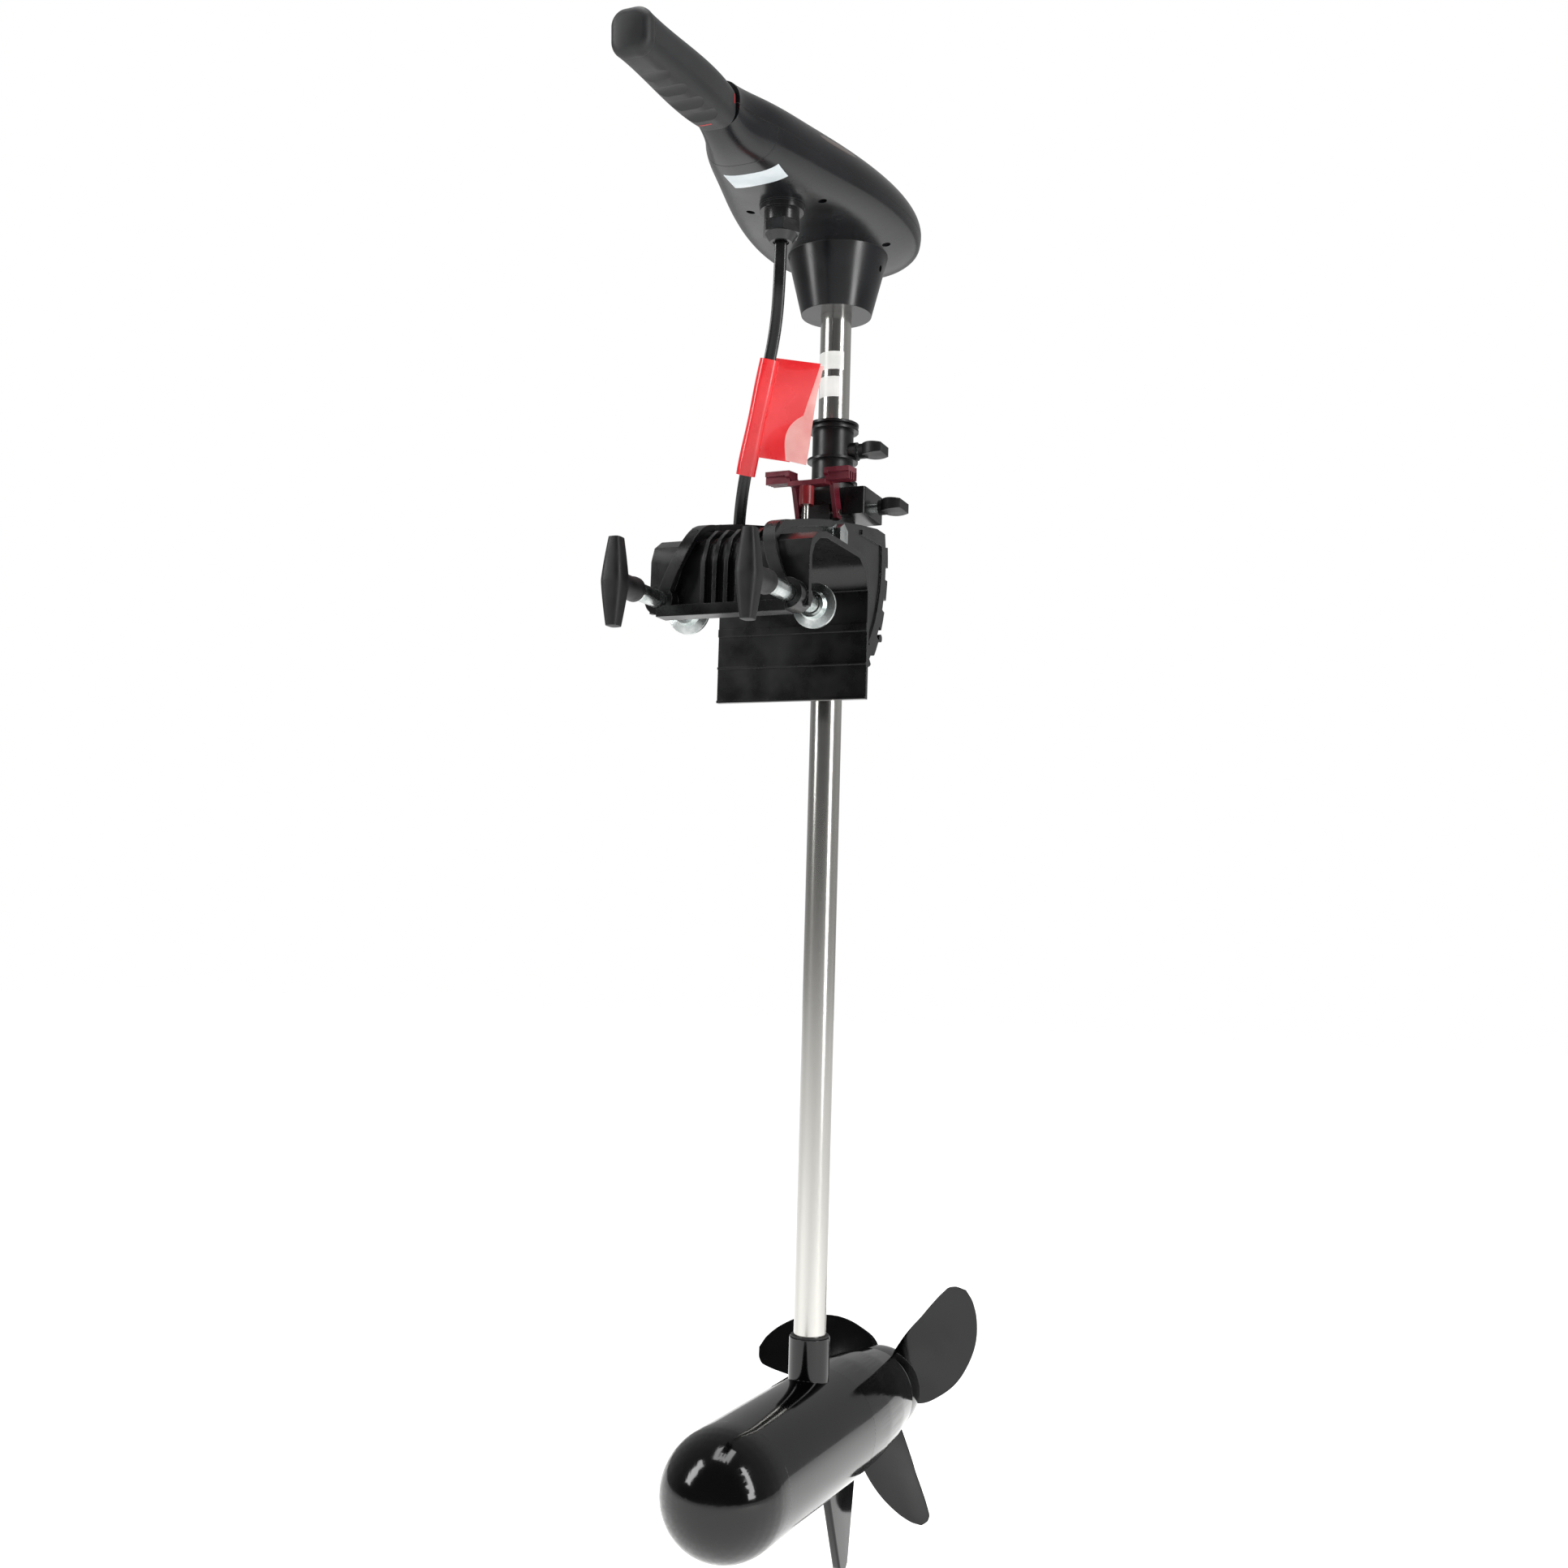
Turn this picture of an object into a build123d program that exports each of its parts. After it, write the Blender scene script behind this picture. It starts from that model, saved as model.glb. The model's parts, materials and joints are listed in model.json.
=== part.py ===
from build123d import *
import math
import os

# Transom-mount electric trolling motor, stored shaft-upright.
# Frame: +Z up, forward (tiller, clamp screws, nose) is -Y, the propeller is +Y.
# Origin: on the clamp's transom pad, level with the two clamp screws.

# ---- driving dimensions, mm ----
SHAFT_D = 25.4
SHAFT_WALL = 1.6
SHAFT_LENGTH = 914.0
SHAFT_Y = 77.0             # shaft axis behind the transom pad
SHAFT_TOP = 335.0          # top end of the shaft inside the head boss
MOTOR_D = 92.8
MOTOR_WALL = 3.2
MOTOR_FRONT = 142.0        # front seam ahead of the shaft axis
MOTOR_REAR = 29.0          # rear seam behind the shaft axis
NOSE_LENGTH = 57.0
REAR_CAP_LENGTH = 115.0
REAR_CAP_END_D = 76.0
MOTOR_COLLAR_D = 32.0
MOTOR_COLLAR_TOP = 77.0    # above the motor axis
SHAFT_SEAT = MOTOR_D / 2 + 0.6  # shaft's lower end above the motor axis
PROP_D = 236.0
PROP_HUB_LENGTH = 40.0
BLADE_T = 4.0
BLADE_PITCH = 20.0         # degrees
BLADE_ANGLE = 56.0         # first tip, degrees up from +X
HOOD_W = 124.0             # clamp hood, across
HOOD_WALL = 4.5
SLOT_DEPTH = 112.0         # inside the hood, front to back
SLOT_TOP = 47.0            # hood ceiling above the screws
PAD_BOTTOM = -57.0         # lower edge of the transom pad
CHEEK_OUT = 32.0           # outer face of each cheek from the middle
CHEEK_T = 5.5
PIVOT_Y = 6.0
PIVOT_Z = 71.0
PIVOT_D = 10.0
SCREW_X = 50.0
SCREW_D = 12.7
SCREW_PAD_Y = -75.0        # pad face, fully wound back
NOTCH_PITCH = 13.3         # degrees between tilt notches
NOTCH_R = 122.0            # tooth tips from the pivot
NOTCH_DEPTH = 5.5
NOTCH_W = 11.0
REST_NOTCH = -29.0         # angle of the bar at rest, below level
LOCK_BAR_D = 6.5
GRIP_L = 131.0
GRIP_W = 33.0
TILLER_TILT = 4.2          # degrees the tiller points down
HEAD_T = 3.0
PARTING_Z = 342.5
CABLE_D = 9.5
COIL_TURN_R = 49.0

# ---- clearances, mm ----
RUN = 0.08                 # running fit on a radius
GAP = 0.35                 # between pieces that move past each other
SNUG = 0.04                # between pieces that stay together

os.makedirs("parts", exist_ok=True)

SHAFT_R = SHAFT_D / 2
SHAFT_BOTTOM = SHAFT_TOP - SHAFT_LENGTH
MOTOR_Z = SHAFT_BOTTOM - SHAFT_SEAT
MOTOR_R = MOTOR_D / 2
MOTOR_Y0 = SHAFT_Y - MOTOR_FRONT
MOTOR_Y1 = SHAFT_Y + MOTOR_REAR
CAP_Y1 = MOTOR_Y1 + REAR_CAP_LENGTH
CHEEK_IN = CHEEK_OUT - CHEEK_T


def rod(start, end, radius, inner=0.0):
    a, b = Vector(*start), Vector(*end)
    plane = Plane(origin=a, z_dir=(b - a).normalized())
    ring = Circle(radius) - Circle(inner) if inner else Circle(radius)
    return extrude(plane * ring, (b - a).length)


def block(x0, x1, y0, y1, z0, z1):
    size = Box(x1 - x0, y1 - y0, z1 - z0)
    return Pos((x0 + x1) / 2, (y0 + y1) / 2, (z0 + z1) / 2) * size


def side_plate(points, x0, x1):
    """A plate of (Y, Z) outline standing between two X values."""
    plane = Plane(origin=(x0, 0, 0), x_dir=(0, 1, 0), z_dir=(1, 0, 0))
    return extrude(plane * make_face(Polyline(*points, close=True)), x1 - x0)


def turned(points, origin, axis):
    """A profile of (radius, height) turned about an axis."""
    plane = Plane(origin=origin, x_dir=(1, 0, 0), z_dir=axis)
    profile = make_face(Polyline(*[(r, 0, h) for r, h in points], close=True))
    return plane.location * revolve(profile, Axis.Z)


def hexagon(centre, axis, across, height):
    plane = Plane(origin=centre, z_dir=axis)
    return extrude(plane * RegularPolygon(across / 2, 6, major_radius=False), height)


def both_sides(piece):
    return piece, mirror(piece, Plane.YZ)


def save(name, *solids):
    shape = solids[0] if len(solids) == 1 else Compound(children=list(solids))
    export_step(shape, f"parts/{name}.step")


def polar(radius, degrees):
    """A (Y, Z) point at an angle round the tilt pivot."""
    a = math.radians(degrees)
    return PIVOT_Y + radius * math.cos(a), PIVOT_Z + radius * math.sin(a)


# ---- clamp bracket: hood, cheeks, screw bosses ----
FRONT_Y = -SLOT_DEPTH
BOSS_R = 11.0
BOSS_Y0 = FRONT_Y - HOOD_WALL - 10
BOSS_Y1 = FRONT_Y + 6
INSERT_R = 8.6
BOSS_LIP = 3.0
UPPER_RIM = 3.5
BAND_H = 1.2
REAR_RIM = 1.4


def hood():
    half = HOOD_W / 2
    inner = [
        (FRONT_Y, -8), (FRONT_Y, 29), (FRONT_Y + 5, 38), (FRONT_Y + 14, 44),
        (FRONT_Y + 28, SLOT_TOP), (-18, SLOT_TOP), (-6, 40), (0, 28), (0, PAD_BOTTOM),
    ]
    t = HOOD_WALL
    outer = [
        (t + 0.5, PAD_BOTTOM), (t + 0.5, 30), (t - 2, 43), (-14, SLOT_TOP + t),
        (FRONT_Y + 26, SLOT_TOP + t), (FRONT_Y + 11, 48), (FRONT_Y, 41), (FRONT_Y - t, 30),
        (FRONT_Y - t, -8),
    ]
    shell = side_plate(inner + outer, -half, half)
    # the transom bears on three bands, the wall between them is relieved
    for z0, z1 in ((PAD_BOTTOM + 1.8, -30.5), (-28.7, -5), (1, 26)):
        shell -= block(-half - 1, half + 1, -1, BAND_H, z0, z1)
    for x in (-18, -9, 0, 9, 18):
        rib = side_plate(
            [(FRONT_Y - t - 5, -8), (FRONT_Y - t - 5, 26), (FRONT_Y - 2, 44), (FRONT_Y + 12, 54),
             (FRONT_Y + 34, SLOT_TOP + t + 5), (-30, SLOT_TOP + t + 5), (-22, SLOT_TOP + t / 2),
             (FRONT_Y + 26, SLOT_TOP + t / 2), (FRONT_Y + 8, 44), (FRONT_Y - t / 2, 30),
             (FRONT_Y - t / 2, -8)], x - 1.5, x + 1.5)
        shell += rib
    shell += block(-SCREW_X, SCREW_X, FRONT_Y - t - 13, FRONT_Y - t / 2, -13, -5)
    return shell


def cheek():
    top = [(FRONT_Y - 6, 44), (FRONT_Y + 7, 56), (FRONT_Y + 31, 63.5), (-57, 69.5), (-33, 75), (-9, 80), (15, 85),
           (60, 92.5), (100, 98.5)]
    arc = [polar(NOTCH_R, a) for a in (13, 8, 3, -2, -7, -12, -17, -22, -27, -32, -37, -42, -46)]
    low = [(72, -24), (40, -34), (HOOD_WALL - 1, -44), (HOOD_WALL - 1, 26), (-16, SLOT_TOP + 2),
           (FRONT_Y + 26, SLOT_TOP + 2), (FRONT_Y + 6, 42)]
    plate = side_plate(top + arc + low, CHEEK_IN, CHEEK_OUT)
    for n in range(-1, 4):
        angle = REST_NOTCH + n * NOTCH_PITCH
        y, z = polar(NOTCH_R, angle)
        cut = Pos((CHEEK_IN + CHEEK_OUT) / 2, y, z) * Rot(angle, 0, 0) * Box(
            CHEEK_T * 3, 2 * NOTCH_DEPTH, NOTCH_W)
        plate -= cut
    # stiffening rims on the outer face
    upper = [(FRONT_Y - 6, 44), (FRONT_Y + 7, 56), (FRONT_Y + 31, 63.5), (-57, 69.5), (-33, 75),
             (-9, 80), (-9, 74.5), (-33, 69.5), (-57, 64), (FRONT_Y + 31, 58), (FRONT_Y + 10, 51),
             (FRONT_Y, 42)]
    plate += side_plate(upper, CHEEK_OUT - 1, CHEEK_OUT + UPPER_RIM)
    rear = [polar(NOTCH_R - 15, a) for a in (10, 3, -5, -13, -21, -29, -37, -42)]
    rear += [polar(NOTCH_R - 19, a) for a in (-42, -37, -29, -21, -13, -5, 3, 8)]
    rear += [(62, 85), (62, 89)]
    plate += side_plate(rear, CHEEK_OUT - 1, CHEEK_OUT + REAR_RIM)
    return plate


def flare():
    """Curved flange from the cheek's front corner down to the screw boss."""
    route = [Vector(CHEEK_OUT - 3.5, FRONT_Y + 32, 61.5), Vector(CHEEK_OUT - 3, FRONT_Y + 11, 56),
             Vector(CHEEK_OUT - 1.5, FRONT_Y - 3, 46), Vector(CHEEK_OUT + 3, FRONT_Y - 10, 32),
             Vector(CHEEK_OUT + 9, FRONT_Y - 13, 17), Vector(SCREW_X - 3, FRONT_Y - 12, 4)]
    ends = [route[0]] + route[:-1], route[1:] + [route[-1]]
    arm = loft([Plane(origin=p, x_dir=(1, 0, 0), z_dir=b - a) * Rectangle(9, 4.4)
                for p, a, b in zip(route, *ends)])
    web = loft([
        Plane(origin=(CHEEK_OUT - 3, FRONT_Y + 12, 46), x_dir=(1, 0, 0), z_dir=(0, 0.5, 1))
        * Rectangle(4, 30),
        Plane(origin=(SCREW_X - 4, FRONT_Y - 6, 4), x_dir=(1, 0, 0), z_dir=(0, 0.1, 1))
        * Rectangle(4, 14),
    ])
    return arm + web


bracket = hood()
for plate in both_sides(cheek()):
    bracket += plate
for arm in both_sides(flare()):
    bracket += arm
for x in (-SCREW_X, SCREW_X):
    bracket += rod((x, BOSS_Y0, 0), (x, BOSS_Y1, 0), BOSS_R)
for x in (-SCREW_X, SCREW_X):
    bracket -= rod((x, BOSS_Y0 + BOSS_LIP, 0), (x, BOSS_Y1 + 1, 0), INSERT_R + SNUG)
    bracket -= rod((x, BOSS_Y0 - 20, 0), (x, BOSS_Y0 + BOSS_LIP, 0), SCREW_D / 2 + GAP)
bracket -= block(-HOOD_W / 2, HOOD_W / 2, FRONT_Y + 6, -1.5, PAD_BOTTOM, 28)
slot_top = [(FRONT_Y + 6, 20), (FRONT_Y, 29), (FRONT_Y + 5, 38), (FRONT_Y + 14, 44),
            (FRONT_Y + 28, SLOT_TOP), (-18, SLOT_TOP), (-6, 40), (0, 28), (-1.5, 20)]
bracket -= side_plate(slot_top, -HOOD_W / 2, HOOD_W / 2)
bracket -= rod((-60, PIVOT_Y, PIVOT_Z), (60, PIVOT_Y, PIVOT_Z), PIVOT_D / 2 + RUN)
save("clamp_bracket", bracket)

inserts = [rod((x, BOSS_Y0 + BOSS_LIP, 0), (x, BOSS_Y1, 0), INSERT_R, SCREW_D / 2 + RUN)
           for x in (-SCREW_X, SCREW_X)]
save("clamp_screw_inserts", *inserts)

# ---- clamp screws, handles and pads ----
HUB_Y = SHAFT_Y - 239
HANDLE_Y = SHAFT_Y - 268
HANDLE_H = 62.0
PAD_R = 16.5


def handle(x):
    half = HANDLE_H / 2
    outline = Polyline((-half, -4.5), (-6, -8.5), (6, -8.5), (half, -4.5), (half, 4.5),
                       (6, 8.5), (-6, 8.5), (-half, 4.5), close=True)
    plane = Plane(origin=(x, HANDLE_Y, 0), x_dir=(0, 0, 1), z_dir=(1, 0, 0))
    bar = extrude(plane * make_face(outline), 8.5, both=True)
    bar = chamfer(bar.edges().filter_by(Axis.X), 1.2)
    hub = rod((x, HANDLE_Y, 0), (x, HUB_Y, 0), 8.6)
    return bar + hub - rod((x, HANDLE_Y - 2, 0), (x, HUB_Y + 1, 0), SCREW_D / 2 + SNUG)


for side, x in (("left", -SCREW_X), ("right", SCREW_X)):
    pad_cup = turned([(SCREW_D / 2 + 0.6, 0), (PAD_R, 0), (PAD_R, 2.2), (10.5, 3.4),
                      (9.4, 8.2), (SCREW_D / 2 + 0.6, 8.2)], (x, SCREW_PAD_Y, 0), (0, -1, 0))
    pad_cup += rod((x, SCREW_PAD_Y, 0), (x, SCREW_PAD_Y - 2.0, 0), PAD_R - 1)
    save(f"clamp_pad_{side}", pad_cup)
    screw = rod((x, HANDLE_Y - 2, 0), (x, SCREW_PAD_Y - 2 - GAP, 0), SCREW_D / 2)
    save(f"clamp_screw_{side}", screw)
    save(f"clamp_handle_{side}", handle(x))

# ---- tilt pivot ----
NUT_T = 7.0
WASHER_T = 1.6
bolt = rod((-CHEEK_OUT - WASHER_T - NUT_T - 2, PIVOT_Y, PIVOT_Z),
           (CHEEK_OUT + WASHER_T, PIVOT_Y, PIVOT_Z), PIVOT_D / 2)
bolt += hexagon((CHEEK_OUT + WASHER_T, PIVOT_Y, PIVOT_Z), (1, 0, 0), 16, 6)
save("tilt_pivot_bolt", bolt)
nut_x = -CHEEK_OUT - WASHER_T - NUT_T
nut = hexagon((nut_x, PIVOT_Y, PIVOT_Z), (1, 0, 0), 16, NUT_T)
nut -= rod((nut_x - 1, PIVOT_Y, PIVOT_Z), (nut_x + NUT_T + 1, PIVOT_Y, PIVOT_Z), PIVOT_D / 2 + SNUG)
washers = [rod((x, PIVOT_Y, PIVOT_Z), (x + WASHER_T, PIVOT_Y, PIVOT_Z), 9, PIVOT_D / 2 + SNUG)
           for x in (-CHEEK_OUT - WASHER_T, CHEEK_OUT)]
save("tilt_pivot_nut_and_washers", nut, *washers)

# ---- tilt block: sleeve round the shaft, arms to the pivot ----
SLEEVE_R = 20.0
BUSH_R = 15.6
BUSH_L = 22.0
SLEEVE_BOTTOM = -5.0
BLOCK_Z0 = 101.0
BLOCK_TOP = 123.0
STUD_Z = 110.0
STUD_R = 4.0
LEVER_Y = 49.0
LEVER_Z = 101.0
LEVER_PIN_R = 2.5
PLUNGER_Y = SHAFT_Y - 53
PLUNGER_R = 2.3
block_body = rod((0, SHAFT_Y, SLEEVE_BOTTOM), (0, SHAFT_Y, BLOCK_TOP), SLEEVE_R)
block_body += block(-21, 37, SHAFT_Y - 22, SHAFT_Y + 22, BLOCK_Z0, BLOCK_TOP)
upright = block_body.edges().filter_by(Axis.Z)
block_body = fillet([e for e in upright if abs(e.center().X) > SLEEVE_R + 0.5], 2.5)
for piece in both_sides(side_plate(
        [(-6, 62), (0, 60), (40, 62), (SHAFT_Y - 10, 62), (SHAFT_Y - 10, 92), (30, 84),
         (0, 83), (-6, 78)], 8, 14)):
    block_body += piece
block_body += rod((-CHEEK_IN + GAP, PIVOT_Y, PIVOT_Z), (CHEEK_IN - GAP, PIVOT_Y, PIVOT_Z), 11.5)
block_body += block(-12, 12, LEVER_Y - 6, SHAFT_Y - 15, 80, LEVER_Z + 6)
block_body += block(-9, 9, PLUNGER_Y - 6, PLUNGER_Y + 6, 66, 76)
block_body -= rod((-60, PIVOT_Y, PIVOT_Z), (60, PIVOT_Y, PIVOT_Z), PIVOT_D / 2 + RUN)
block_body -= rod((0, SHAFT_Y, SLEEVE_BOTTOM - 1), (0, SHAFT_Y, BLOCK_TOP + 1), BUSH_R + SNUG)
block_body -= rod((-30, LEVER_Y, LEVER_Z), (30, LEVER_Y, LEVER_Z), LEVER_PIN_R + RUN)
block_body -= rod((5, SHAFT_Y, STUD_Z), (60, SHAFT_Y, STUD_Z), STUD_R + RUN)
block_body -= rod((0, PLUNGER_Y, 60), (0, PLUNGER_Y, 80), PLUNGER_R + RUN)
save("tilt_block", block_body)

BUSH_IN = SHAFT_R + RUN
lower_bush = rod((0, SHAFT_Y, SLEEVE_BOTTOM), (0, SHAFT_Y, SLEEVE_BOTTOM + BUSH_L), BUSH_R, BUSH_IN)
lower_bush += rod((0, SHAFT_Y, SLEEVE_BOTTOM - 3), (0, SHAFT_Y, SLEEVE_BOTTOM), 19, BUSH_IN)
middle_bush = rod((0, SHAFT_Y, STUD_Z - 9 - BUSH_L), (0, SHAFT_Y, STUD_Z - 9), BUSH_R, BUSH_IN)
top_bush = rod((0, SHAFT_Y, STUD_Z + 7), (0, SHAFT_Y, BLOCK_TOP), BUSH_R, BUSH_IN)
save("shaft_bushes", lower_bush, middle_bush, top_bush)

# ---- tension knob ----
KNOB_L = 21.0


def knob(x, z, across):
    """Three-sided thumb knob on an X axis."""
    plane = Plane(origin=(x, SHAFT_Y, z), x_dir=(0, 1, 0), z_dir=(1, 0, 0))
    body = loft([plane.offset(4) * Rectangle(across * 0.62, 9),
                 plane.offset(10) * Rectangle(across, 9.5),
                 plane.offset(KNOB_L) * Rectangle(across * 0.86, 7.5)])
    return body + extrude(plane * Circle(6.2), 6)


STUD_X1 = 42.0
stud = rod((SHAFT_R + 0.6, SHAFT_Y, STUD_Z), (STUD_X1 + 12, SHAFT_Y, STUD_Z), STUD_R)
save("tension_stud", stud)
stud_hole = rod((30, SHAFT_Y, STUD_Z), (STUD_X1 + 12, SHAFT_Y, STUD_Z), STUD_R + SNUG)
save("tension_knob", knob(STUD_X1, STUD_Z, 25) - stud_hole)

# ---- tilt lock: lever, plunger, spring, yoke ----
LEVER_ARM_X = 14.5
LEVER_ARM_T = 3.5


def lever():
    arms = [(LEVER_Y - 4, LEVER_Z - 5), (LEVER_Y + 4, LEVER_Z - 5), (LEVER_Y + 5.2, LEVER_Z + 2),
            (LEVER_Y - 4, 127), (LEVER_Y - 26, 131), (LEVER_Y - 28, 126), (LEVER_Y - 14, 120)]
    shape = side_plate(arms, LEVER_ARM_X, LEVER_ARM_X + LEVER_ARM_T)
    shape += side_plate(arms, -LEVER_ARM_X - LEVER_ARM_T, -LEVER_ARM_X)
    shape += side_plate([(22, 118), (42, 121), (42, 125), (22, 122)], -16, 16)
    wing = [(22, 127), (40, 129), (40, 133), (22, 131)]
    for sign in (1, -1):
        low, high = sorted((sign * 15, sign * 35.5))
        shape += side_plate(wing, low, high)
        for k in range(4):
            y = 23.5 + 5 * k
            shape += block(low, high, y, y + 1.8, 121 + k * 0.6, 129 + k * 0.3)
    shape -= rod((-30, LEVER_Y, LEVER_Z), (30, LEVER_Y, LEVER_Z), LEVER_PIN_R + SNUG)
    return shape


save("tilt_lock_lever", lever())
pin_half = LEVER_ARM_X + LEVER_ARM_T + 1
lever_pin = rod((-pin_half, LEVER_Y, LEVER_Z), (pin_half, LEVER_Y, LEVER_Z), LEVER_PIN_R)
save("lever_pivot_pin", lever_pin)

YOKE_OUT = GAP + LOCK_BAR_D / 2
bar_y, bar_z = polar(NOTCH_R + YOKE_OUT, REST_NOTCH)
ry, rz = math.cos(math.radians(REST_NOTCH)), math.sin(math.radians(REST_NOTCH))
YOKE_BACK = 80.0


def yoke():
    half = CHEEK_OUT - 0.5
    shape = rod((-half, bar_y, bar_z), (half, bar_y, bar_z), LOCK_BAR_D / 2)
    frame = Plane(origin=(0, bar_y, bar_z), x_dir=(1, 0, 0), z_dir=(0, -rz, ry))
    arm_x = SLEEVE_R + 1.2
    for sign in (1, -1):
        shape += extrude(frame * Pos(sign * (arm_x + 1.5), -YOKE_BACK / 2) * Rectangle(3, YOKE_BACK),
                         4, both=True)
    shape += extrude(frame * Pos(0, -YOKE_BACK) * Rectangle(2 * arm_x + 6, 5), 4, both=True)
    shape += extrude(frame * Pos(0, -YOKE_BACK - 9) * Rectangle(9, 19), 3, both=True)
    return shape


save("tilt_lock_yoke", yoke())
PLUNGER_Z0 = 64.0
CAP_TOP = 117.0
plunger = rod((0, PLUNGER_Y, PLUNGER_Z0), (0, PLUNGER_Y, CAP_TOP - 2), PLUNGER_R)
save("lock_plunger", plunger)
cap = rod((0, PLUNGER_Y, 102), (0, PLUNGER_Y, CAP_TOP), 5.8)
cap -= rod((0, PLUNGER_Y, 100), (0, PLUNGER_Y, CAP_TOP - 1.9), PLUNGER_R + SNUG)
save("plunger_cap", cap)

# ---- thrust washer and depth collar ----
WASHER_TOP = 130.5
thrust = rod((0, SHAFT_Y, BLOCK_TOP + 0.2), (0, SHAFT_Y, WASHER_TOP), 18, SHAFT_R + RUN)
save("thrust_washer", thrust)
COLLAR_TOP = 182.0
COLLAR_BORE = SHAFT_R + SNUG
COLLAR_SCREW_Z = 158.0
COLLAR_SCREW_R = 3.0
collar = rod((0, SHAFT_Y, WASHER_TOP + GAP), (0, SHAFT_Y, COLLAR_TOP), 16.8)
for z0, z1 in ((175.5, 177.5), (180, COLLAR_TOP), (150, 152), (WASHER_TOP + GAP, 133)):
    collar += rod((0, SHAFT_Y, z0), (0, SHAFT_Y, z1), 20.8)
collar += rod((10, SHAFT_Y, COLLAR_SCREW_Z), (22, SHAFT_Y, COLLAR_SCREW_Z), 7.5)
collar -= rod((0, SHAFT_Y, WASHER_TOP - 5), (0, SHAFT_Y, COLLAR_TOP + 5), COLLAR_BORE)
collar -= rod((8, SHAFT_Y, COLLAR_SCREW_Z), (40, SHAFT_Y, COLLAR_SCREW_Z), COLLAR_SCREW_R + RUN)
save("depth_collar", collar)
save("collar_screw", rod((SHAFT_R + 0.5, SHAFT_Y, COLLAR_SCREW_Z),
                         (36, SHAFT_Y, COLLAR_SCREW_Z), COLLAR_SCREW_R))
collar_hole = rod((20, SHAFT_Y, COLLAR_SCREW_Z), (36, SHAFT_Y, COLLAR_SCREW_Z),
                  COLLAR_SCREW_R + SNUG)
save("collar_knob", knob(24, COLLAR_SCREW_Z, 22) - collar_hole)

# ---- shaft ----
shaft = rod((0, SHAFT_Y, SHAFT_BOTTOM), (0, SHAFT_Y, SHAFT_TOP), SHAFT_R, SHAFT_R - SHAFT_WALL)
CROSS_Z = SHAFT_TOP - 25
CROSS_R = 2.5
cross_hole = rod((-60, SHAFT_Y, CROSS_Z), (60, SHAFT_Y, CROSS_Z), CROSS_R + RUN)
save("shaft_tube", shaft - cross_hole)
wires = [rod((x, SHAFT_Y + 5.6, SHAFT_BOTTOM - 5.5), (x, SHAFT_Y + 5.6, SHAFT_TOP + 12), 2.0)
         for x in (-3, 3)]
save("motor_wires", *wires)

# ---- motor housing ----
BORE_R = MOTOR_R - MOTOR_WALL


def along(profile):
    """Profile of (radius, Y) turned about the motor axis."""
    return turned([(r, y) for r, y in profile], (0, 0, MOTOR_Z), (0, 1, 0))


collar_z = MOTOR_Z + MOTOR_COLLAR_TOP
shell = along([(BORE_R, MOTOR_Y0), (MOTOR_R, MOTOR_Y0), (MOTOR_R, MOTOR_Y1), (BORE_R, MOTOR_Y1)])
neck = rod((0, SHAFT_Y, MOTOR_Z), (0, SHAFT_Y, collar_z), MOTOR_COLLAR_D / 2)
neck -= rod((0, MOTOR_Y0, MOTOR_Z), (0, CAP_Y1, MOTOR_Z), MOTOR_R - 1)
neck -= rod((0, SHAFT_Y, SHAFT_BOTTOM), (0, SHAFT_Y, collar_z + 5), SHAFT_R + SNUG)
shell = shell + neck
shell -= rod((0, SHAFT_Y, MOTOR_Z), (0, SHAFT_Y, collar_z), 9)
save("motor_shell", shell)
seal_ring = rod((0, SHAFT_Y, collar_z), (0, SHAFT_Y, collar_z + 1.6), 15, SHAFT_R + SNUG)


def nose_points(radius, tip, back, steps=10):
    """Quarter-ellipse dome from the tip back to a straight skirt."""
    points = [(0, tip)]
    reach = back - tip
    for k in range(1, steps + 1):
        a = math.pi / 2 * k / steps
        points.append((radius * math.sin(a), back - reach * math.cos(a)))
    return points


SPIGOT = 8.0
tip_y = MOTOR_Y0 - NOSE_LENGTH
dome = nose_points(MOTOR_R, tip_y, MOTOR_Y0 - 8)
cave = nose_points(MOTOR_R - 5, tip_y + 5, MOTOR_Y0 - 8)
nose_outline = dome + [(MOTOR_R, MOTOR_Y0), (BORE_R - 0.3, MOTOR_Y0),
                       (BORE_R - 0.3, MOTOR_Y0 + SPIGOT), (BORE_R - 5, MOTOR_Y0 + SPIGOT)]
nose = along(nose_outline + cave[::-1])
nose += rod((0, MOTOR_Y0 - 26, MOTOR_Z), (0, MOTOR_Y0 + SPIGOT, MOTOR_Z), 11.5)
nose -= rod((0, MOTOR_Y0 - 18, MOTOR_Z), (0, MOTOR_Y0 + SPIGOT + 1, MOTOR_Z), 8)
for a in (0, 60, 120, 180, 240, 300):
    spoke = block(5, MOTOR_R - 7, MOTOR_Y0 - 20, MOTOR_Y0 + 4, -1.5, 1.5)
    nose += Pos(0, 0, MOTOR_Z) * Rot(0, a, 0) * (spoke - rod((0, MOTOR_Y0 - 30, 0), (0, 50, 0), 9))
save("nose_cone", nose)

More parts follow.
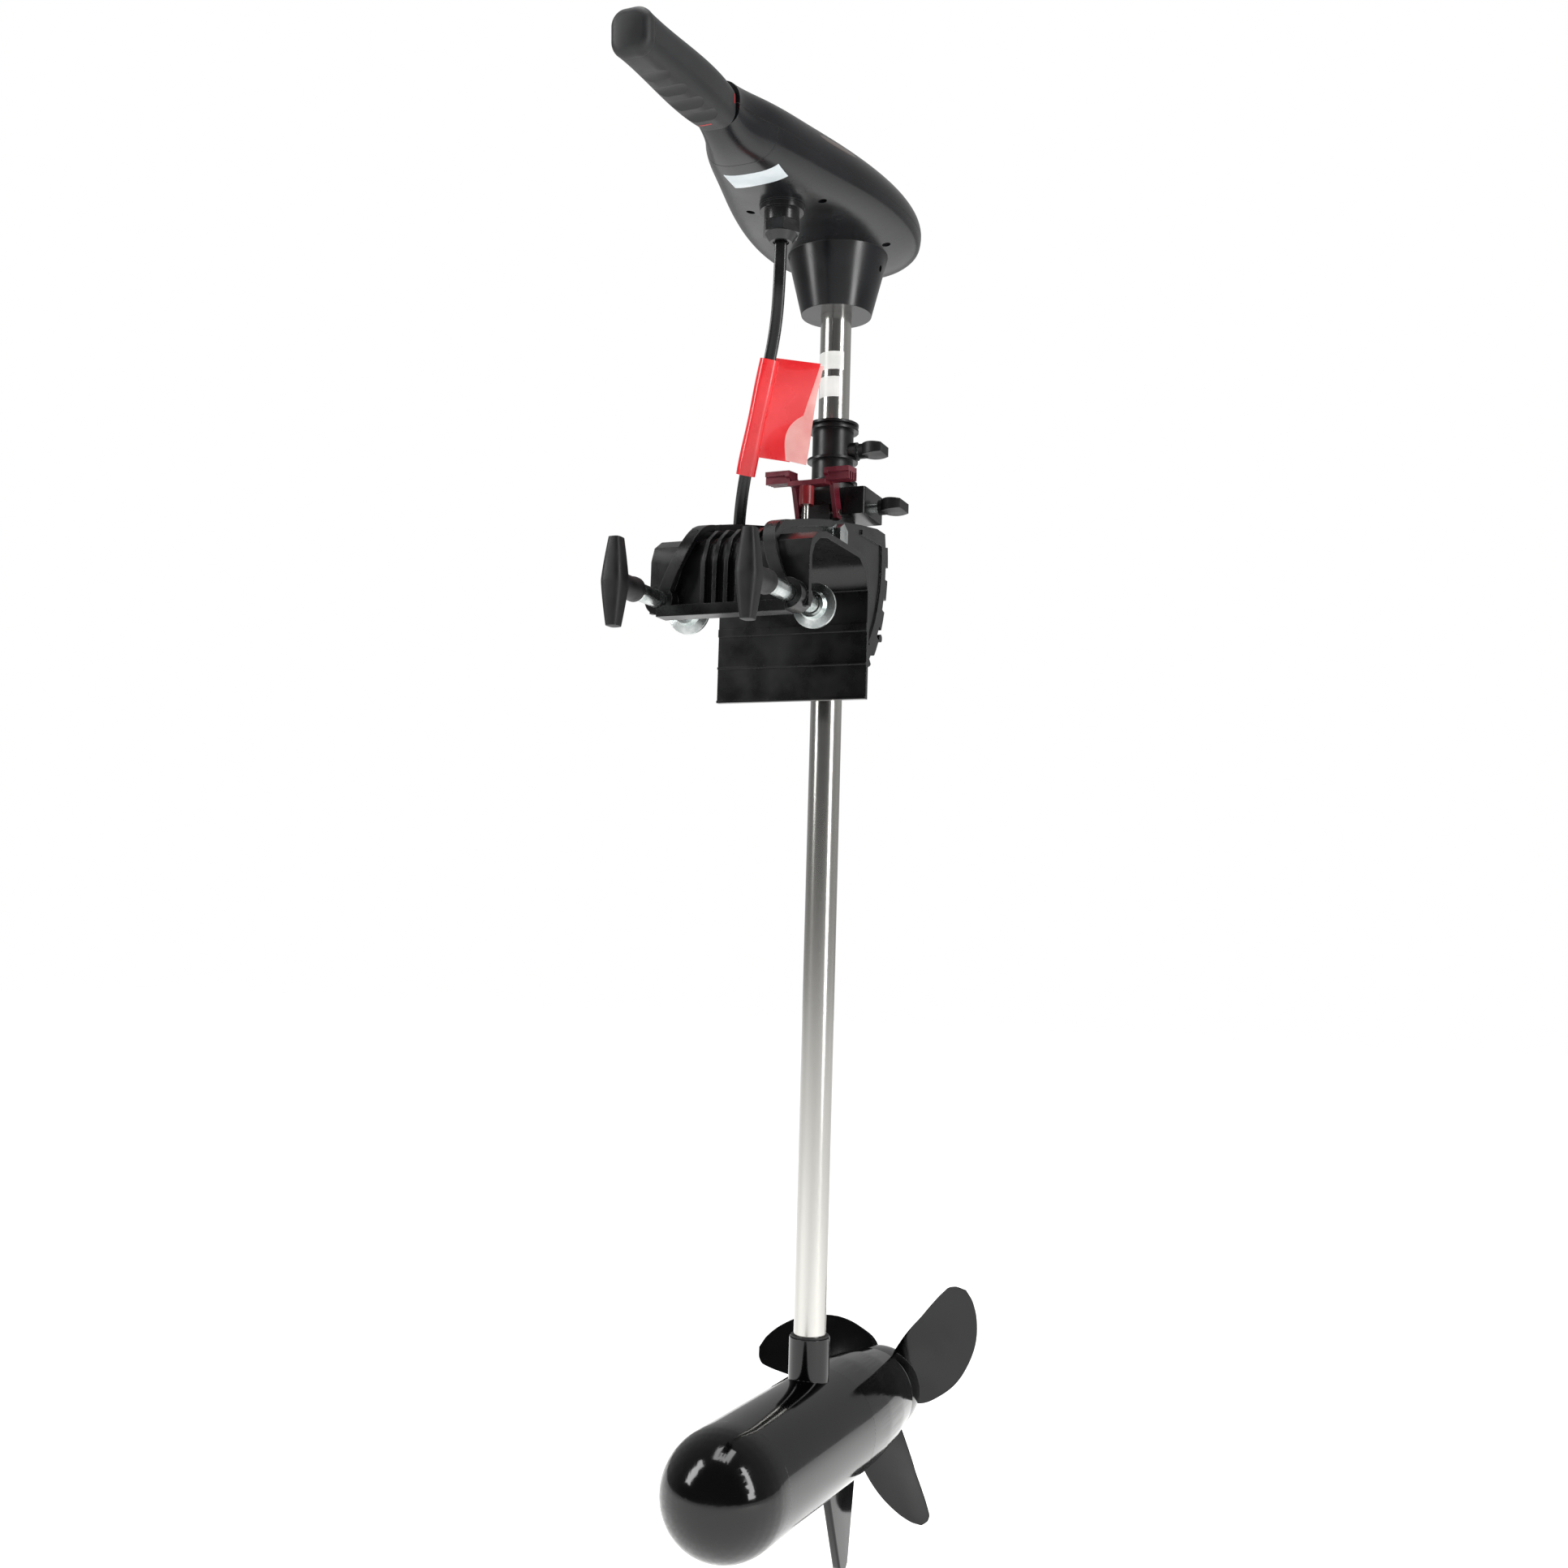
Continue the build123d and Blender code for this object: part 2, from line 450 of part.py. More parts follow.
END_R = REAR_CAP_END_D / 2
rear_outer = [(MOTOR_R, MOTOR_Y1), (MOTOR_R - 0.6, MOTOR_Y1 + 40), (MOTOR_R - 3.4, MOTOR_Y1 + 78),
              (END_R + 0.8, CAP_Y1 - 6), (END_R, CAP_Y1)]
rear_inner = [(12, CAP_Y1), (12, CAP_Y1 - 22), (END_R - 8, MOTOR_Y1 + 60), (BORE_R - 3, MOTOR_Y1 + 30),
              (BORE_R - 5, MOTOR_Y1 - SPIGOT), (BORE_R - 0.3, MOTOR_Y1 - SPIGOT),
              (BORE_R - 0.3, MOTOR_Y1)]
save("rear_end_cap", along(rear_outer + rear_inner))
o_rings = [along([(BORE_R - 2.4, y), (BORE_R - 0.3, y), (BORE_R - 0.3, y + 2.4), (BORE_R - 2.4, y + 2.4)])
           for y in (MOTOR_Y0 + SPIGOT + 0.2, MOTOR_Y1 - SPIGOT - 2.6)]
save("o_rings", seal_ring, *o_rings)

# skeg, a thin swept fin under the rear cap
SKEG_T = 7.0
skeg_y = SHAFT_Y + 34
skeg = side_plate([(skeg_y, -38), (skeg_y + 36, -120), (skeg_y + 42, -125), (skeg_y + 50, -125),
                   (skeg_y + 56, -119), (skeg_y + 72, -36)], -SKEG_T / 2, SKEG_T / 2)
skeg = fillet(skeg.edges().filter_by(lambda e: e.length > 60), 2.2)
skeg = Pos(0, 0, MOTOR_Z) * skeg
skeg -= along([(0, MOTOR_Y0)] + [(r + SNUG, y) for r, y in
                                 [(MOTOR_R, MOTOR_Y0)] + rear_outer] + [(0, CAP_Y1)])
save("skeg", skeg)

# ---- motor internals ----
MAGNET_R0 = BORE_R - 7
MAGNET_Y0 = MOTOR_Y0 + 40
MAGNET_Y1 = MOTOR_Y1 - 28
magnet_ring = along([(MAGNET_R0, MAGNET_Y0), (BORE_R - SNUG, MAGNET_Y0),
                     (BORE_R - SNUG, MAGNET_Y1), (MAGNET_R0, MAGNET_Y1)])
for gap_x in (-1, 1):
    magnet_ring -= Pos(gap_x * BORE_R, 0, MOTOR_Z) * Box(2 * BORE_R * 0.5, 400, 22)
save("magnets", *magnet_ring.solids())
MSHAFT_R = 5.0
ARM_R = MAGNET_R0 - 1.2
armature = along([(MSHAFT_R + SNUG, MAGNET_Y0 + 4), (ARM_R, MAGNET_Y0 + 4), (ARM_R, MAGNET_Y1 - 4),
                  (MSHAFT_R + SNUG, MAGNET_Y1 - 4)])
for k in range(12):
    slot = block(ARM_R - 9, ARM_R + 2, MAGNET_Y0, MAGNET_Y1, -2.2, 2.2)
    armature -= Pos(0, 0, MOTOR_Z) * Rot(0, 30 * k, 0) * slot
save("armature", armature)
save("commutator", along([(MSHAFT_R + SNUG, MAGNET_Y0 - 20), (14, MAGNET_Y0 - 20),
                          (14, MAGNET_Y0 + 3), (MSHAFT_R + SNUG, MAGNET_Y0 + 3)]))
holder = along([(17, MAGNET_Y0 - 20), (BORE_R - 1, MAGNET_Y0 - 20), (BORE_R - 1, MAGNET_Y0 - 15),
                (17, MAGNET_Y0 - 15)])
brushes = []
for sign in (1, -1):
    holder += Pos(0, 0, MOTOR_Z) * (block(17, 30, MAGNET_Y0 - 16, MAGNET_Y0 - 3, -6, 6)
                                    if sign == 1 else
                                    block(-30, -17, MAGNET_Y0 - 16, MAGNET_Y0 - 3, -6, 6))
    low, high = sorted((sign * 14.3, sign * 28))
    holder -= Pos(0, 0, MOTOR_Z) * block(low - 3, high + 3, MAGNET_Y0 - 13, MAGNET_Y0 - 6, -4, 4)
    brushes.append(Pos(0, 0, MOTOR_Z) * block(low, high, MAGNET_Y0 - 12.9, MAGNET_Y0 - 6.1, -3.9, 3.9))
save("brush_holder", holder)
save("brushes", *brushes)

HUB_Y0 = CAP_Y1 + 1.0
HUB_Y1 = HUB_Y0 + PROP_HUB_LENGTH
motor_shaft = rod((0, MOTOR_Y0 - 16, MOTOR_Z), (0, HUB_Y1 + 9, MOTOR_Z), MSHAFT_R)
PIN_Y = CAP_Y1 + 7
pin_hole = rod((-30, PIN_Y, MOTOR_Z), (30, PIN_Y, MOTOR_Z), 2.0 + SNUG)
save("motor_shaft", motor_shaft - pin_hole)
save("shear_pin", rod((-13, PIN_Y, MOTOR_Z), (13, PIN_Y, MOTOR_Z), 2.0))
front_bearing = rod((0, MOTOR_Y0 - 17.9, MOTOR_Z), (0, MOTOR_Y0 - 6, MOTOR_Z), 8 - SNUG,
                    MSHAFT_R + RUN)
rear_bearing = rod((0, CAP_Y1 - 21, MOTOR_Z), (0, CAP_Y1 - 9, MOTOR_Z), 12 - SNUG,
                   MSHAFT_R + RUN)
save("motor_bearings", front_bearing, rear_bearing)
save("shaft_seal", rod((0, CAP_Y1 - 8.8, MOTOR_Z), (0, CAP_Y1 - 2, MOTOR_Z), 12 - SNUG,
                       MSHAFT_R + RUN))

# ---- propeller ----
TIP_R = PROP_D / 2


def blade():
    """Sickle outline of (degrees, radius): one edge nearly straight, the other long and round."""
    straight = [(14, 28), (3.5, 75), (1, TIP_R - 7)]
    round_edge = [(1, TIP_R - 7), (-2, TIP_R - 2), (-6, TIP_R - 0.5), (-10, TIP_R - 3), (-16, TIP_R - 9),
                  (-26, TIP_R - 22), (-38, TIP_R - 39), (-50, TIP_R - 54), (-61, TIP_R - 68),
                  (-74, TIP_R - 80)]
    root = [(-74, TIP_R - 80), (-80, 28), (14, 28)]
    edges = [[(r * math.cos(math.radians(a)), r * math.sin(math.radians(a))) for a, r in row]
             for row in (straight, round_edge, root)]
    return make_face(Polyline(*edges[0]) + Spline(*edges[1]) + Polyline(*edges[2]))


def prop():
    mid_y = HUB_Y0 + PROP_HUB_LENGTH / 2
    hub = along([(MSHAFT_R + RUN, HUB_Y0), (END_R - 0.5, HUB_Y0), (END_R - 0.8, HUB_Y0 + 12),
                 (END_R - 3, HUB_Y0 + 28), (END_R - 9, HUB_Y1), (MSHAFT_R + RUN, HUB_Y1)])
    hub -= block(-14, 14, HUB_Y0 - 1, PIN_Y + 2.2, MOTOR_Z - 2.2, MOTOR_Z + 2.2)
    wheel = hub
    front_face = Plane(origin=(0, 0, 0), x_dir=(1, 0, 0), z_dir=(0, -1, 0))
    pitched = Rot(BLADE_PITCH, 0, 0) * extrude(front_face * blade(), BLADE_T / 2, both=True)
    for k in range(3):
        wheel += Pos(0, mid_y, MOTOR_Z) * Rot(0, -BLADE_ANGLE - 120 * k, 0) * pitched
    wheel -= rod((0, HUB_Y0 - 30, MOTOR_Z), (0, HUB_Y0, MOTOR_Z), TIP_R)
    wheel -= rod((0, HUB_Y0 - 1, MOTOR_Z), (0, HUB_Y1 + 9, MOTOR_Z), MSHAFT_R + SNUG)
    return wheel


save("propeller", prop())
save("prop_washer", rod((0, HUB_Y1 + 0.1, MOTOR_Z), (0, HUB_Y1 + 2, MOTOR_Z), 11, MSHAFT_R + SNUG))
prop_nut = hexagon((0, HUB_Y1 + 2.1, MOTOR_Z), (0, 1, 0), 16, 8)
save("prop_nut", prop_nut - rod((0, HUB_Y1, MOTOR_Z), (0, HUB_Y1 + 9.1, MOTOR_Z), MSHAFT_R + SNUG))

# ---- control head ----
# station: Y ahead of the shaft, half width, rise above and drop below the parting line
STATIONS = [
    (-236, 17.5, 19, 15.5), (-194, 29, 26, 24), (-150, 42, 31, 24), (-105, 54, 35, 22),
    (-60, 64, 37, 20), (-15, 68.5, 37, 20), (20, 65, 34, 20), (46, 54, 28, 18), (64, 36, 20, 14),
    (73, 14, 9, 7),
]


def section(y, w, up, down, inset):
    points = []
    n = 20
    for k in range(n):
        a = 2 * math.pi * k / n
        c, s = math.cos(a), math.sin(a)
        rise = up if s > 0 else down
        power = 0.72 if s < 0 else 0.86
        px = (w - inset) * math.copysign(abs(c) ** power, c)
        pz = (rise - inset) * math.copysign(abs(s) ** power, s)
        points.append((px, pz))
    plane = Plane(origin=(0, SHAFT_Y + y, PARTING_Z), x_dir=(1, 0, 0), z_dir=(0, -1, 0))
    return plane * make_face(Spline(*points, periodic=True))


def head_form(inset):
    rows = STATIONS if not inset else STATIONS[1:-1]
    return loft([section(y, w, up, down, inset) for y, w, up, down in rows])


HEAD_OUT = head_form(0)
HEAD_IN = head_form(HEAD_T)
BOSS_BOTTOM = SHAFT_TOP - 61
COLLAR_SPLIT = SHAFT_Y - 194
above = block(-90, 90, SHAFT_Y - 300, SHAFT_Y + 120, PARTING_Z, PARTING_Z + 80)
below = block(-90, 90, COLLAR_SPLIT, SHAFT_Y + 120, PARTING_Z - 80, PARTING_Z - 0.1)
front = block(-90, 90, SHAFT_Y - 300, COLLAR_SPLIT - 0.1, PARTING_Z - 80, PARTING_Z - 0.1)
tiller = Vector(0, -math.cos(math.radians(TILLER_TILT)), -math.sin(math.radians(TILLER_TILT)))
TILLER_ROOT = Vector(0, SHAFT_Y - 237, 967.0 - 626.0)


def on_tiller(distance):
    p = TILLER_ROOT + tiller * distance
    return p.X, p.Y, p.Z


ROD_R = 8.0
tiller_bore = rod(on_tiller(-60), on_tiller(10), ROD_R + 0.3)
SCREW_SPOTS = [(30, -110), (-30, -110), (46, -10), (-46, -10)]
POST_R = 4.5
TAP_R = 1.7
shellwork = HEAD_OUT - HEAD_IN
posts = Part() + [rod((x, SHAFT_Y + y, PARTING_Z - 40), (x, SHAFT_Y + y, PARTING_Z + 50), POST_R)
                  for x, y in SCREW_SPOTS]
posts = posts & HEAD_OUT
tap_holes = Part() + [rod((x, SHAFT_Y + y, PARTING_Z - 40), (x, SHAFT_Y + y, PARTING_Z + 15),
                          TAP_R + SNUG) for x, y in SCREW_SPOTS]
head_sinks = Part() + [rod((x, SHAFT_Y + y, PARTING_Z - 40), (x, SHAFT_Y + y, PARTING_Z - 12), 3.4)
                       for x, y in SCREW_SPOTS]
top_cover = (shellwork & above) + (posts & above) - tap_holes
window_cut = block(-14, 14, SHAFT_Y - 62, SHAFT_Y - 12, PARTING_Z + 20, PARTING_Z + 60)
lens_zone = top_cover & window_cut
save("head_top_cover", top_cover - window_cut - tiller_bore)
save("indicator_lens", lens_zone & block(-13.9, 13.9, SHAFT_Y - 61.9, SHAFT_Y - 12.1,
                                         PARTING_Z + 20, PARTING_Z + 60))

boss = turned([(0, BOSS_BOTTOM), (29, BOSS_BOTTOM), (43, PARTING_Z - 12), (0, PARTING_Z - 12)],
              (0, SHAFT_Y, 0), (0, 0, 1))
boss_hole = turned([(0, BOSS_BOTTOM + 4), (25, BOSS_BOTTOM + 4), (38, PARTING_Z - 8),
                    (0, PARTING_Z - 8)], (0, SHAFT_Y, 0), (0, 0, 1))
socket = rod((0, SHAFT_Y, BOSS_BOTTOM), (0, SHAFT_Y, SHAFT_TOP), 18)
GLAND_TOP = PARTING_Z - 25
GLAND_Y = SHAFT_Y - 118
gland_pad = rod((0, GLAND_Y, GLAND_TOP), (0, GLAND_Y, PARTING_Z - 18), 17.5)
housing = (shellwork & below) + (posts & below) + gland_pad + boss - boss_hole + socket
housing -= tap_holes
housing -= head_sinks
housing -= rod((0, SHAFT_Y, BOSS_BOTTOM - 1), (0, SHAFT_Y, SHAFT_TOP + 1), SHAFT_R + SNUG)
housing -= cross_hole
GLAND_THREAD_R = 10.0
gland_hole = rod((0, GLAND_Y, PARTING_Z - 40), (0, GLAND_Y, PARTING_Z), GLAND_THREAD_R + 0.1)
housing -= gland_hole
housing -= tiller_bore
save("head_lower_housing", housing)
save("nose_collar", (shellwork & front) + ((HEAD_OUT & front) & block(
    -90, 90, COLLAR_SPLIT - 14, COLLAR_SPLIT - 8, 0, 900)) - tiller_bore)

bolt_len = 2 * 22
cross_bolt = rod((-bolt_len / 2, SHAFT_Y, CROSS_Z), (bolt_len / 2, SHAFT_Y, CROSS_Z), CROSS_R)
cross_bolt += rod((-bolt_len / 2, SHAFT_Y, CROSS_Z), (-18.2, SHAFT_Y, CROSS_Z), 4.5)
save("shaft_cross_bolt", cross_bolt)

# tiller: rod, grip, end cap, switch
save("tiller_rod", rod(on_tiller(-55), on_tiller(GRIP_L - 10), ROD_R))
switch = rod(on_tiller(-82), on_tiller(-55.2), 15)
save("speed_switch", switch)


def grip_face(distance, width, height):
    plane = Plane(origin=on_tiller(distance), x_dir=(1, 0, 0), z_dir=tiller)
    return plane * RectangleRounded(width, height, min(width, height) * 0.36)


grip = loft([grip_face(1.0, 30, 31), grip_face(12, 32, GRIP_W), grip_face(GRIP_L * 0.5, GRIP_W, GRIP_W),
             grip_face(GRIP_L - 9, 29, 31)])
up_tiller = Vector(0, -tiller.Z, tiller.Y)
if up_tiller.Z < 0:
    up_tiller = up_tiller * -1
for k in range(4):
    centre = TILLER_ROOT + tiller * (28 + 22 * k) - up_tiller * (GRIP_W / 2 + 9.5)
    grip -= rod((-30, centre.Y, centre.Z), (30, centre.Y, centre.Z), 12)
grip -= rod(on_tiller(-5), on_tiller(GRIP_L - 8), ROD_R + SNUG)
save("tiller_grip", grip)
save("grip_end_cap", loft([grip_face(GRIP_L - 8.9, 29, 31), grip_face(GRIP_L - 2, 26, 28),
                           grip_face(GRIP_L, 20, 22)]))

# gland
gland_body = rod((0, GLAND_Y, GLAND_TOP - 3.5), (0, GLAND_Y, GLAND_TOP), 17)
gland_body += rod((0, GLAND_Y, GLAND_TOP - 12), (0, GLAND_Y, GLAND_TOP - 3.5), 13.5)
gland_body += rod((0, GLAND_Y, GLAND_TOP), (0, GLAND_Y, GLAND_TOP + 12), GLAND_THREAD_R)
GLAND_NUT_Z = GLAND_TOP - 12.1
gland_bore = rod((0, GLAND_Y, GLAND_NUT_Z - 30), (0, GLAND_Y, GLAND_TOP + 20), CABLE_D / 2 + 1.5)
save("cable_gland", gland_body - gland_bore)
dome_nut = hexagon((0, GLAND_Y, GLAND_NUT_Z - 9), (0, 0, 1), 26, 9)
dome_nut += turned([(0, GLAND_NUT_Z - 15), (8.5, GLAND_NUT_Z - 15), (12.5, GLAND_NUT_Z - 9),
                    (0, GLAND_NUT_Z - 9)], (0, GLAND_Y, 0), (0, 0, 1))
save("gland_nut", dome_nut - gland_bore)
save("gland_seal", rod((0, GLAND_Y, GLAND_NUT_Z - 14), (0, GLAND_Y, GLAND_TOP), CABLE_D / 2 + 1.4,
                       CABLE_D / 2 + SNUG))

# screws: four up through the lower housing, two through the nose collar
def screw(start, end, radius, head_r, head_l):
    a, b = Vector(*start), Vector(*end)
    neck = a + (b - a).normalized() * head_l
    head_end = (neck.X, neck.Y, neck.Z)
    return rod(start, head_end, head_r) + rod(head_end, end, radius)


head_screws = [screw((x, SHAFT_Y + y, PARTING_Z - 14.4), (x, SHAFT_Y + y, PARTING_Z + 13), TAP_R,
                     3.2, 2.4) for x, y in SCREW_SPOTS]
save("head_screws", *head_screws)

# ---- battery cable, hanging from the gland to a tied coil beside the bracket ----
CABLE_R = CABLE_D / 2
ROUTE = [
    (0, -41, 315), (0, -41, 271), (-6, -31, 229), (-17, -25, 188), (-29, -18, 147),
    (-41, -9, 108), (-49, 3, 73), (-50.5, 15, 44), (-50, 24, 20),
]


def bend_radii(points):
    radii = []
    for a, b, c in zip(points, points[1:], points[2:]):
        first = Vector(*b) - Vector(*a)
        second = Vector(*c) - Vector(*b)
        half = math.radians(first.get_angle(second)) / 2
        radii.append(0.45 * min(first.length, second.length) / math.tan(half))
    return radii


RADII = bend_radii(ROUTE)
print("cable bend radii", [round(r) for r in RADII])
path = FilletPolyline(*[Vector(*p) for p in ROUTE], radius=RADII)
cable = sweep(Plane(origin=ROUTE[0], z_dir=path % 0) * Circle(CABLE_R), path=path)
print("cable volume", round(cable.volume), "section x length",
      round(math.pi * CABLE_R ** 2 * path.length), "length", round(path.length))
save("battery_cable", cable)

COIL = (-50.0, 80.0, 14.0)
COIL_W = 2 * CABLE_D
COIL_IN = COIL_TURN_R - CABLE_D
COIL_OUT = COIL_TURN_R + CABLE_D
coil_x0, coil_x1 = COIL[0] - COIL_W / 2, COIL[0] + COIL_W / 2
save("cable_coil", rod((coil_x0, COIL[1], COIL[2]), (coil_x1, COIL[1], COIL[2]), COIL_OUT, COIL_IN))
TIE_T = 1.4
TIE_GAP = 0.3
tie = block(coil_x0 - TIE_GAP - TIE_T, coil_x1 + TIE_GAP + TIE_T, COIL[1] - 3, COIL[1] + 3,
            COIL[2] + COIL_IN - TIE_GAP - TIE_T, COIL[2] + COIL_OUT + TIE_GAP + TIE_T)
tie -= block(coil_x0 - TIE_GAP, coil_x1 + TIE_GAP, COIL[1] - 4, COIL[1] + 4,
             COIL[2] + COIL_IN - TIE_GAP, COIL[2] + COIL_OUT + TIE_GAP)
save("cable_tie", tie)
CLIP_W = 12.0
CLIP_OFF = 8.0
clip_half = math.sqrt(COIL_IN ** 2 - (CLIP_OFF + CLIP_W / 2) ** 2) - GAP
clips = [block(coil_x0 + 2, coil_x1 - 2, COIL[1] + side * CLIP_OFF - CLIP_W / 2,
               COIL[1] + side * CLIP_OFF + CLIP_W / 2, COIL[2] - clip_half, COIL[2] + clip_half - 6)
         for side in (-1, 1)]
save("battery_clips", *clips)

# warning tag: a film sleeve round the cable with a flag to its right
TAG_T = 0.8
SLEEVE_IN = CABLE_R + 2.0
tag_top = path @ 0.36
tag_end = path @ 0.66
flag = [Vector(-12, -25, 207), Vector(-31, -17, 133), Vector(-6, 1, 131), Vector(19, -2, 206)]
normal = (flag[1] - flag[0]).cross(flag[3] - flag[0]).normalized()
flag_plane = Plane(origin=flag[0], z_dir=normal)
flat = [flag_plane.to_local_coords(p) for p in flag]
tag = rod(tuple(tag_top), tuple(tag_end), SLEEVE_IN + TAG_T)
tag += extrude(flag_plane * make_face(Polyline(*[(p.X, p.Y) for p in flat], close=True)), TAG_T)
tag -= rod(tuple(tag_top + (tag_top - tag_end)), tuple(tag_end + (tag_end - tag_top)), SLEEVE_IN)
save("warning_tag", tag)
print("tag sleeve", tag_top, tag_end)
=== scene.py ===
import json
import math
import bmesh
import bpy
import numpy as np
from mathutils import Matrix, Vector
from mathutils.bvhtree import BVHTree


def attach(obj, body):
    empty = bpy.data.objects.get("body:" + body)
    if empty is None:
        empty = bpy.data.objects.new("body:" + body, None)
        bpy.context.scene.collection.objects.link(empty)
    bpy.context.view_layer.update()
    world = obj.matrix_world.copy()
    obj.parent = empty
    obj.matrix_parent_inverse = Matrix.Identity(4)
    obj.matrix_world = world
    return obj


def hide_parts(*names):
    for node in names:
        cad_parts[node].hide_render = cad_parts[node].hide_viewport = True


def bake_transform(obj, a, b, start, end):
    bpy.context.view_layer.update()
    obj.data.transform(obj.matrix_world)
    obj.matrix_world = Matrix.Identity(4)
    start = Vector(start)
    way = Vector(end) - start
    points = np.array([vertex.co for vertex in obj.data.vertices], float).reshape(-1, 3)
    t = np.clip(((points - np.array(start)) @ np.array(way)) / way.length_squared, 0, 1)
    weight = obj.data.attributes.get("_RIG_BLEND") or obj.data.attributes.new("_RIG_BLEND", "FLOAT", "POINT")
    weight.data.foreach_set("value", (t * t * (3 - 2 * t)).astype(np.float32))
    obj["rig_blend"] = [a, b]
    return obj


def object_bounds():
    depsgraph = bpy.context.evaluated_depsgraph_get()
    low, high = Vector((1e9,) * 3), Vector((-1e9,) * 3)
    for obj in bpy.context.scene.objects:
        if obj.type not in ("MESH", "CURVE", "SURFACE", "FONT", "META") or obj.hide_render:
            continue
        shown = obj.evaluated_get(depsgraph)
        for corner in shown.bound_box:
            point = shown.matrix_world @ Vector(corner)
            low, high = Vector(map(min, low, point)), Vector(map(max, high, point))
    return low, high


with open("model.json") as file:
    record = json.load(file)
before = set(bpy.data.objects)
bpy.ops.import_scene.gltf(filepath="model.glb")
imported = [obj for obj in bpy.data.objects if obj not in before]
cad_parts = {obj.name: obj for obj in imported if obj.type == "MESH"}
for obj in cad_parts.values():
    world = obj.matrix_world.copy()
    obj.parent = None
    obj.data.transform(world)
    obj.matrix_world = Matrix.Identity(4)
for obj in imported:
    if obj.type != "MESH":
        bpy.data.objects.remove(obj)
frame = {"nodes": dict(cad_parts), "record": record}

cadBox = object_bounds()
mm = 0.001
print("frame loaded")

# ---- camera, floor and light ----
camera = {
    "place": (0.5072, -1.1942, -0.2349), "yaw": 23.105, "pitch": 5.01, "roll": 1.62,
    "focal": 2097.95, "side": 1932, "sensor": 36.0,
}


def makeCamera(c):
    # forward from yaw and pitch, then right and up turned by the roll
    yaw, pitch, roll = (math.radians(c[k]) for k in ("yaw", "pitch", "roll"))
    forward = Vector((-math.sin(yaw) * math.cos(pitch), math.cos(yaw) * math.cos(pitch), math.sin(pitch)))
    right = Vector((math.cos(yaw), math.sin(yaw), 0))
    up = right.cross(forward)
    right, up = right * math.cos(roll) + up * math.sin(roll), up * math.cos(roll) - right * math.sin(roll)
    data = bpy.data.cameras.new("camera")
    data.sensor_width = c["sensor"]
    data.lens = c["focal"] * c["sensor"] / c["side"]
    data.clip_start = 0.05
    view = bpy.data.objects.new("camera", data)
    view.matrix_world = Matrix.Translation(c["place"]) @ Matrix((right, up, -forward)).transposed().to_4x4()
    bpy.context.scene.collection.objects.link(view)
    bpy.context.scene.camera = view


makeCamera(camera)


# ---- materials ----
def linear(hexCode):
    # sRGB hex to linear light, with alpha 1
    srgb = np.array([int(hexCode[i:i + 2], 16) for i in (0, 2, 4)]) / 255
    return (*np.where(srgb <= 0.04045, srgb / 12.92, ((srgb + 0.055) / 1.055) ** 2.4), 1.0)


def add(tree, kind, settings=(), links=()):
    # one node with its settings (socket name or attribute) and what feeds its sockets
    node = tree.nodes.new("ShaderNode" + kind)
    for name, value in dict(settings).items():
        if name in node.inputs:
            node.inputs[name].default_value = value
        else:
            setattr(node, name, value)
    for name, source in dict(links).items():
        tree.links.new(source, node.inputs[name])
    return node


